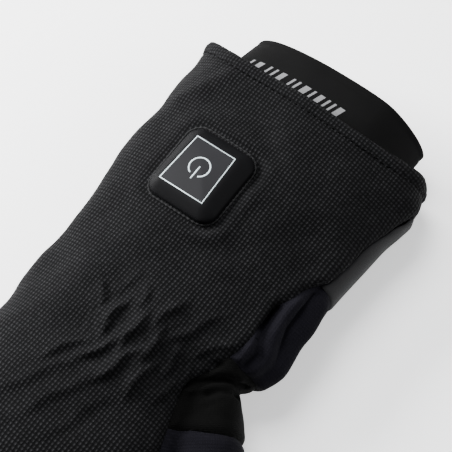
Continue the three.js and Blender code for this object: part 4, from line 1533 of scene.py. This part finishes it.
@dataclass
class CuffBand:
    """The elastic band inside the cuff: a flat tube with a rolled rim and a row of plain printed bars."""

    form: GloveForm
    finishes: Finishes
    half_width: float = 40 * MM
    flare: float = 5 * MM
    depth: float = 36.2 * MM
    wall: float = 1.6 * MM
    low: float = 2.5 * MM
    high: float = 37.0 * MM
    sides: int = 220
    girth: float = 262 * MM
    wave: float = 0.35 * MM
    rim_shift: float = 3.2 * MM
    fold_drop: float = 3.5 * MM
    fold_in: float = 1.9 * MM

    def ring(self, along: float, out: float) -> Array:
        """One section of the band, moved outwards by a distance.

        Args:
            along: Its place along the glove.
            out: The distance outwards.

        Returns:
            The points.
        """
        stations = np.array([-self.form.band_reach, 4.5 * MM, 0.4 * self.depth, self.depth])
        halves = np.array([self.half_width, self.half_width + 0.3 * self.flare, self.half_width + self.flare,
                           self.form.half_width - 3.7 * MM])
        half = float(np.interp(along, stations, halves)) + out
        middle, tall = (self.high + self.low) / 2, (self.high - self.low) / 2 + out
        turns = np.linspace(0, 2 * math.pi, self.sides, endpoint=False)
        rim = 1 - min(max((along + self.form.band_reach) / (30 * MM), 0), 1)
        cos, sin = squircle(turns)
        x, z = half * cos, middle + tall * sin
        fade, reach = (0.5 * (1 + math.cos(math.pi * min(max((along + 0.01) / run, 0), 1))) for run in (0.02, 0.035))
        wave = self.wave * fade * np.sin(3 * turns + 0.7)
        y = along + 0.5 * MM * np.sin(2 * turns + 0.4) * fade
        folded = reach * smoothstep(0.5, 0.95, -x / half)
        z = z - self.fold_drop * folded * np.clip((z - self.low) / (middle - self.low), 0, 1)
        x = x - self.fold_in * folded * bell(z - middle + 4.5 * MM, 3.6 * MM)
        return np.stack([x - self.rim_shift * rim, y, np.maximum(z, self.low) + wave], 1)

    def build(self) -> None:
        """Builds the tube and its print."""
        rim = -self.form.band_reach
        profile = [(self.depth, 0.0), (30 * MM, 0.0), (24 * MM, 0.0), (18 * MM, 0.0)]
        profile += [(along * MM, 0.0) for along in np.linspace(14, -6, 11)]
        profile += [(-7.2 * MM, -0.22 * MM), (-7.7 * MM, -0.05 * MM)]
        roll, swell = 0.95 * MM, 0.98 * MM
        for angle in np.linspace(math.pi / 2, -math.pi / 2, 8):
            profile.append((rim + roll - roll * math.cos(angle), -self.wall / 2 + swell * math.sin(angle)))
        profile += [(-7.5 * MM, -self.wall)]
        profile += [(along * MM, -self.wall) for along in (-5, 0, 8, 16, 26)]
        profile += [(self.depth, -self.wall)]
        rings = [self.ring(along, out) for along, out in profile]
        points, faces = np.concatenate(rings), loft_faces(len(rings), self.sides, closed=True)
        across = np.linspace(0, self.girth, self.sides, endpoint=False)
        cloth = np.stack([np.tile(across, len(rings)), np.repeat(run_length(np.array(profile)), self.sides)], 1)
        band = new_piece("elastic_band", points + self.form.origin, faces, self.finishes.webbing, Slot.WEBBING, cloth)
        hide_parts("cuff_band")
        self.bars(points, faces)

    def bars(self, points: Array, faces: list[list[int]]) -> None:
        """A plain row of slanted bars, printed on the band where the cuff's edge meets it.

        Args:
            points: The band's points.
            faces: The band's faces.
        """
        tree = BVHTree.FromPolygons(points.tolist(), faces)
        tufts = Tufts()
        low, high, slant, x, above = 3.1 * MM, 7.6 * MM, 0.35, 31.0 * MM, 0.06
        for width, gap in ((1.0, 2.2), (2.4, 3.0), (1.0, 1.9), (1.0, 1.9), (2.2, 3.2), (1.0, 1.6), (1.0, 2.0),
                           (2.6, 1.7), (1.0, 1.9), (2.2, 1.7), (1.0, 1.7), (1.0, 1.6), (2.4, 1.5)):
            grid = []
            for y in np.linspace(low, high, 5):
                for step in np.linspace(0, width * MM, 4):
                    hit = tree.ray_cast(Vector((x - step + slant * (y - low), y, above)), Vector((0, 0, -1)))
                    grid.append(np.array(hit[0]) + 0.06 * MM * np.array(hit[1]))
            tufts.add_faces(np.array(grid), grid_faces(5, 4, tufts.count))
            x -= (width + gap) * MM
        tufts.piece("band_bars", self.form.origin, self.finishes.print_grey, Slot.WEBBING)


@dataclass
class CuffTab:
    """The grey tab that wraps the cuff's thumb side."""

    form: GloveForm
    finishes: Finishes
    start: float = 0.09
    length: float = 48 * MM
    thickness: float = 1.2 * MM
    rise: float = 0.1 * MM
    last: float = 0.590
    width: float = 40 * MM
    lap_length: float = 240 * MM
    edge_round: float = 0.45 * MM
    bulge: float = 0.3 * MM
    rows: int = 44
    steps: int = 34

    def upper_edge(self, along: float) -> float:
        """The share of the way round at which the tab comes out from under the knit's edge.

        Args:
            along: The place along the glove.

        Returns:
            The share, from the ulnar flank over the back.
        """
        turns, ring, run = self.form.lap(along)
        knit = np.interp(along, self.form.back_edge[:, 1], self.form.back_edge[:, 0])
        free = (turns > math.pi / 2) & ((ring[:, 0] < knit) | (ring[:, 2] < self.form.side_seam))
        under = 0.3 * MM + 0.6 * MM * float(1 - smoothstep(34 * MM, 50 * MM, along))
        return float((run[np.argmax(free)] - under) / run[-1])

    def layer(self, stops: Array, outer: bool) -> Array:
        """One side of the tab as a grid of points, with its edges rounded over.

        Args:
            stops: The places along the glove of its rows.
            outer: Whether it is the side that shows.

        Returns:
            The points, row after row.
        """
        steps, grid = self.steps, []
        for r, along in enumerate(stops):
            end = min(abs(along - stops[0]), abs(along - stops[-1]))
            first = self.upper_edge(float(along))
            lift = self.rise + 0.15 * MM * float(1 - smoothstep(22 * MM, 46 * MM, along))
            for c, turn in enumerate(np.linspace(first, self.last, steps + 1)):
                near = min(end, min(c, steps - c) * (self.last - first) * self.lap_length / steps)
                drop = self.edge_round * math.exp(-((near / (0.8 * MM)) ** 2))
                bulge = self.bulge * math.sin(math.pi * c / steps) * math.sin(math.pi * r / (len(stops) - 1))
                rise = lift + bulge + (self.thickness - drop if outer else drop)
                grid.append(self.form.on_cloth(float(along), float(turn), rise))
        return np.array(grid)

    def build(self) -> None:
        """Builds the tab as a curved sheet of even thickness over the cloth."""
        start = self.start * self.form.length
        stops = np.linspace(start, start + self.length, self.rows)
        rows, columns = self.rows, self.steps + 1
        count = rows * columns
        outer, inner = self.layer(stops, True), self.layer(stops, False)
        faces = []
        for quad in grid_faces(rows, columns):
            faces += [quad, [count + i for i in reversed(quad)]]
        places = np.arange(count).reshape(rows, columns)
        rim = [*places[0, :-1], *places[:-1, -1], *places[-1, :0:-1], *places[:0:-1, 0]]
        faces += [[int(b), int(a), int(count + a), int(count + b)] for a, b in zip(rim, rim[1:] + rim[:1])]
        cloth = np.array([(self.width * c / self.steps, float(along)) for along in stops for c in range(columns)])
        piece = new_piece("grey_tab", np.concatenate([outer, inner]) + self.form.origin, faces, self.finishes.tape,
                          Slot.TAPE, np.concatenate([cloth, cloth]))
        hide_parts("cuff_tab")
        width = float(np.linalg.norm(np.diff(outer.reshape(rows, columns, 3), axis=1), axis=2).sum(1).mean())


@dataclass
class PowerButton:
    """The silicone cushion with its grey face, white outline and power mark."""

    form: GloveForm
    finishes: Finishes
    seat: Seat
    height: float = 4.8 * MM
    face_width: float = 19.3 * MM
    face_length: float = 22.7 * MM
    face_corner: float = 0.8 * MM
    line: float = 0.4 * MM
    offset: float = 1.15 * MM
    taper: float = 0.053
    ring_radius: float = 4.13 * MM
    bar_length: float = 5.6 * MM
    stroke: float = 0.6 * MM
    mark_gap: float = 27.0
    mark_middle: float = -0.73 * MM
    sides: int = 128
    face_sides: int = 96

    def build(self) -> None:
        """Builds the cushion, the face and the print."""
        self.cushion()
        self.face()
        self.mark()

    def placed(self, points: Array, share: float = 1.0) -> Array:
        """Seats points of the button: its top narrows towards the cuff and leans to the ulnar side."""
        x, y, z = points.T
        x = x * (1 + share * self.taper * y / (self.face_length / 2)) + share * self.offset
        return self.seat.placed(np.stack([x, y, z], 1))

    def cushion(self) -> None:
        """The cushion: its sides lean in from a rounded foot to the flat top."""
        slope = min(self.seat.width - self.face_width, self.seat.length - self.face_length) / 2
        steps = [(-0.02, -2.2), (-0.02, -0.4), (0.0, 0.5), (0.01, 1.1), (0.05, 1.6), (0.12, 2.05), (0.22, 2.5),
                 (0.36, 3.05), (0.52, 3.62), (0.68, 4.14), (0.8, 4.46), (0.9, 4.66), (0.97, 4.76), (1.03, 4.8),
                 (1.12, 4.8)]
        rings = []
        for share, rise in steps:
            inset = share * slope
            corner = self.seat.corner * (1 - share) + (self.face_corner + 0.6 * MM) * share
            outline = rounded_outline(self.seat.width - 2 * inset, self.seat.length - 2 * inset,
                                      max(corner, 0.4 * MM), self.sides)
            rings.append(self.placed(np.column_stack([outline, np.full(self.sides, rise * MM)]), share))
        piece = self.solid("button_cushion", rings, self.finishes.silicone, Slot.SILICONE)
        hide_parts("button_housing")

    def solid(self, name: str, rings: list[Array], material: bpy.types.Material, slot: Slot) -> bpy.types.Object:
        """Makes a closed solid over a stack of rings."""
        faces = loft_faces(len(rings), len(rings[0]), lids=True)
        return new_piece(name, np.concatenate(rings) + self.form.origin, faces, material, slot)

    def face(self) -> None:
        """The flat grey face with a small bevel."""
        rings = []
        for out, rise in ((0.0, -0.5), (0.0, 0.0), (-0.05, 0.06), (-0.14, 0.09)):
            outline = rounded_outline(self.face_width + 2 * out * MM, self.face_length + 2 * out * MM,
                                      self.face_corner, self.face_sides)
            rings.append(self.placed(np.column_stack([outline, np.full(self.face_sides, self.height + rise * MM)])))
        piece = self.solid("button_plate", rings, self.finishes.face, Slot.FACE)
        piece.data.set_sharp_from_angle(angle=math.radians(35))
        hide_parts("button_face")

    def strip(self, tufts: Tufts, path: Array, width: float, closed: bool) -> None:
        """Prints a line along a flat path.

        Args:
            tufts: The mesh that gets the line.
            path: Its corners.
            width: Its width.
            closed: Whether its last corner joins the first.
        """
        low, high = self.height + 0.05 * MM, self.height + 0.13 * MM
        before, after = np.roll(path, 1, 0), np.roll(path, -1, 0)
        if not closed:
            before[0], after[-1] = 2 * path[0] - path[1], 2 * path[-1] - path[-2]
        leave, enter = unit(after - path), unit(path - before)
        normal = unit(np.stack([leave[:, 1] + enter[:, 1], -leave[:, 0] - enter[:, 0]], 1))
        stretch = 1 / np.maximum((normal * np.stack([leave[:, 1], -leave[:, 0]], 1)).sum(1), 0.5)
        side = normal * stretch[:, None] * width / 2
        rings = [np.array([[*(p - s), low], [*(p + s), low], [*(p + s), high], [*(p - s), high]])
                 for p, s in zip(path, side)]
        tufts.add_tube([self.placed(ring) for ring in rings], closed)

    def mark(self) -> None:
        """The white outline at the face's edge, and the power mark in its middle."""
        tufts = Tufts()
        x, y = self.face_width / 2 - self.line / 2, self.face_length / 2 - self.line / 2
        self.strip(tufts, np.array([(x, -y), (x, y), (-x, y), (-x, -y)]), self.line, True)
        gap = math.radians(self.mark_gap)
        turns = np.linspace(math.pi / 2 + gap, 2.5 * math.pi - gap, 72)
        low = np.array([0.0, self.mark_middle])
        ring = low + self.ring_radius * np.stack([np.cos(turns), np.sin(turns)], 1)
        self.strip(tufts, ring, self.stroke, False)
        bar = low + np.array([(0.0, 0.0), (0.0, self.bar_length / 2), (0.0, self.bar_length)])
        for end in (ring[0], ring[-1], bar[0], bar[-1]):
            self.dot(tufts, end, self.stroke / 2)
        self.strip(tufts, bar, self.stroke, False)
        tufts.piece("button_print", self.form.origin, self.finishes.ink, Slot.FACE)

    def dot(self, tufts: Tufts, middle: Array, radius: float) -> None:
        """Prints the round end of a line."""
        circle = hoop(middle, np.array([1.0, 0.0]), np.array([0.0, 1.0]), radius, 20)
        rings = [self.placed(np.column_stack([circle, np.full(20, self.height + rise * MM)]))
                 for rise in (0.05, 0.128)]
        tufts.add_tube(rings)


@dataclass
class Studio:
    """A pale floor and soft lights, as in a catalogue photograph."""

    origin: Array
    reach: float = 3.0
    level: float = -0.3 * MM
    glow: float = 0.55
    sky: float = 0.4

    def build(self) -> None:
        """Lays the floor, hangs the lights and lights the world."""
        mesh = bpy.data.meshes.new("floor")
        corners = [(x * self.reach, y * self.reach, self.level) for x, y in ((-1, -1), (1, -1), (1, 1), (-1, 1))]
        mesh.from_pydata(corners, [], [(0, 1, 2, 3)])
        floor = bpy.data.objects.new("floor", mesh)
        bpy.context.scene.collection.objects.link(floor)
        shader = Shader("pale_floor")
        fine = shader.noise(0.4, 2.0)
        mesh.materials.append(shader.finish(
            Base_Color=shader.blend(fine, (0.93, 0.93, 0.935), (0.95, 0.95, 0.955)), Roughness=0.9,
            Emission_Color=(1.0, 1.0, 1.0, 1.0), Emission_Strength=self.glow))
        world = bpy.context.scene.world or bpy.data.worlds.new("World")
        bpy.context.scene.world = world
        world.use_nodes = True
        background = world.node_tree.nodes["Background"]
        background.inputs["Color"].default_value = (0.95, 0.97, 1.0, 1.0)
        background.inputs["Strength"].default_value = self.sky
        target = self.origin + np.array([0.0, 0.07, 0.03])
        self.light("rim", target, (0.70, 0.10, 0.30), 0.4, 29.0)
        self.light("key", target, (0.35, -0.2, 0.75), 0.45, 12.0)
        self.light("fill", target, (-0.6, -0.3, 0.35), 0.4, 3.0)

    def light(self, name: str, target: Array, away: Sequence[float], size: float, power: float) -> None:
        """Hangs one soft square light that faces the glove.

        Args:
            name: The light's name.
            target: The point that it faces.
            away: Where it hangs from there.
            size: Its side in metres.
            power: Its power in watts.
        """
        data = bpy.data.lights.new(name, "AREA")
        data.size = size
        data.energy = power
        lamp = bpy.data.objects.new(name, data)
        lamp.location = target + np.array(away)
        lamp.rotation_euler = Vector(away).to_track_quat("Z", "Y").to_euler()
        bpy.context.scene.collection.objects.link(lamp)


@dataclass
class View:
    """The photograph's camera."""

    origin: Array
    lean_x: float = 15.0
    lean_y: float = 20.0
    roll: float = 39.3
    focal: float = 100.0
    frame_width: float = 168 * MM
    sensor: float = 36.0
    aim: tuple[float, float, float] = (-6.2 * MM, 72 * MM, 40 * MM)

    def build(self) -> None:
        """Places the camera and makes it the scene's own."""
        back = Vector((-math.tan(math.radians(self.lean_x)), math.tan(math.radians(self.lean_y)), 1)).normalized()
        down = Vector((0, -1, 0))
        down = (down - back * down.dot(back)).normalized()
        other = down.cross(back)
        roll = math.radians(self.roll)
        right = math.sin(roll) * down + math.cos(roll) * other
        up = math.cos(roll) * down - math.sin(roll) * other
        data = bpy.data.cameras.new("photo")
        data.lens = self.focal
        data.sensor_width = self.sensor
        data.dof.use_dof = False
        data.clip_start = 0.01
        camera = bpy.data.objects.new("photo", data)
        target = Vector(self.aim) + Vector(self.origin)
        turn = [[right[i], up[i], back[i]] for i in range(3)]
        place = target + back * self.frame_width * self.focal / self.sensor
        camera.matrix_world = Matrix([[*turn[i], place[i]] for i in range(3)] + [[0, 0, 0, 1]])
        bpy.context.scene.collection.objects.link(camera)
        bpy.context.scene.camera = camera


def main() -> None:
    """Builds the glove piece by piece, then its studio and its camera."""
    logging.basicConfig(level=logging.INFO, format="%(name)s: %(message)s")
    form = GloveForm()
    finishes = Finishes()
    seat = Seat(form)
    View(form.origin).build()
    skin = Shell(form, finishes, seat).build()
    Stitching(form, finishes, seat, skin).build()
    CuffBand(form, finishes).build()
    CuffTab(form, finishes).build()
    PowerButton(form, finishes, seat).build()
    Studio(form.origin).build()


if __name__ == "__main__":
    main()
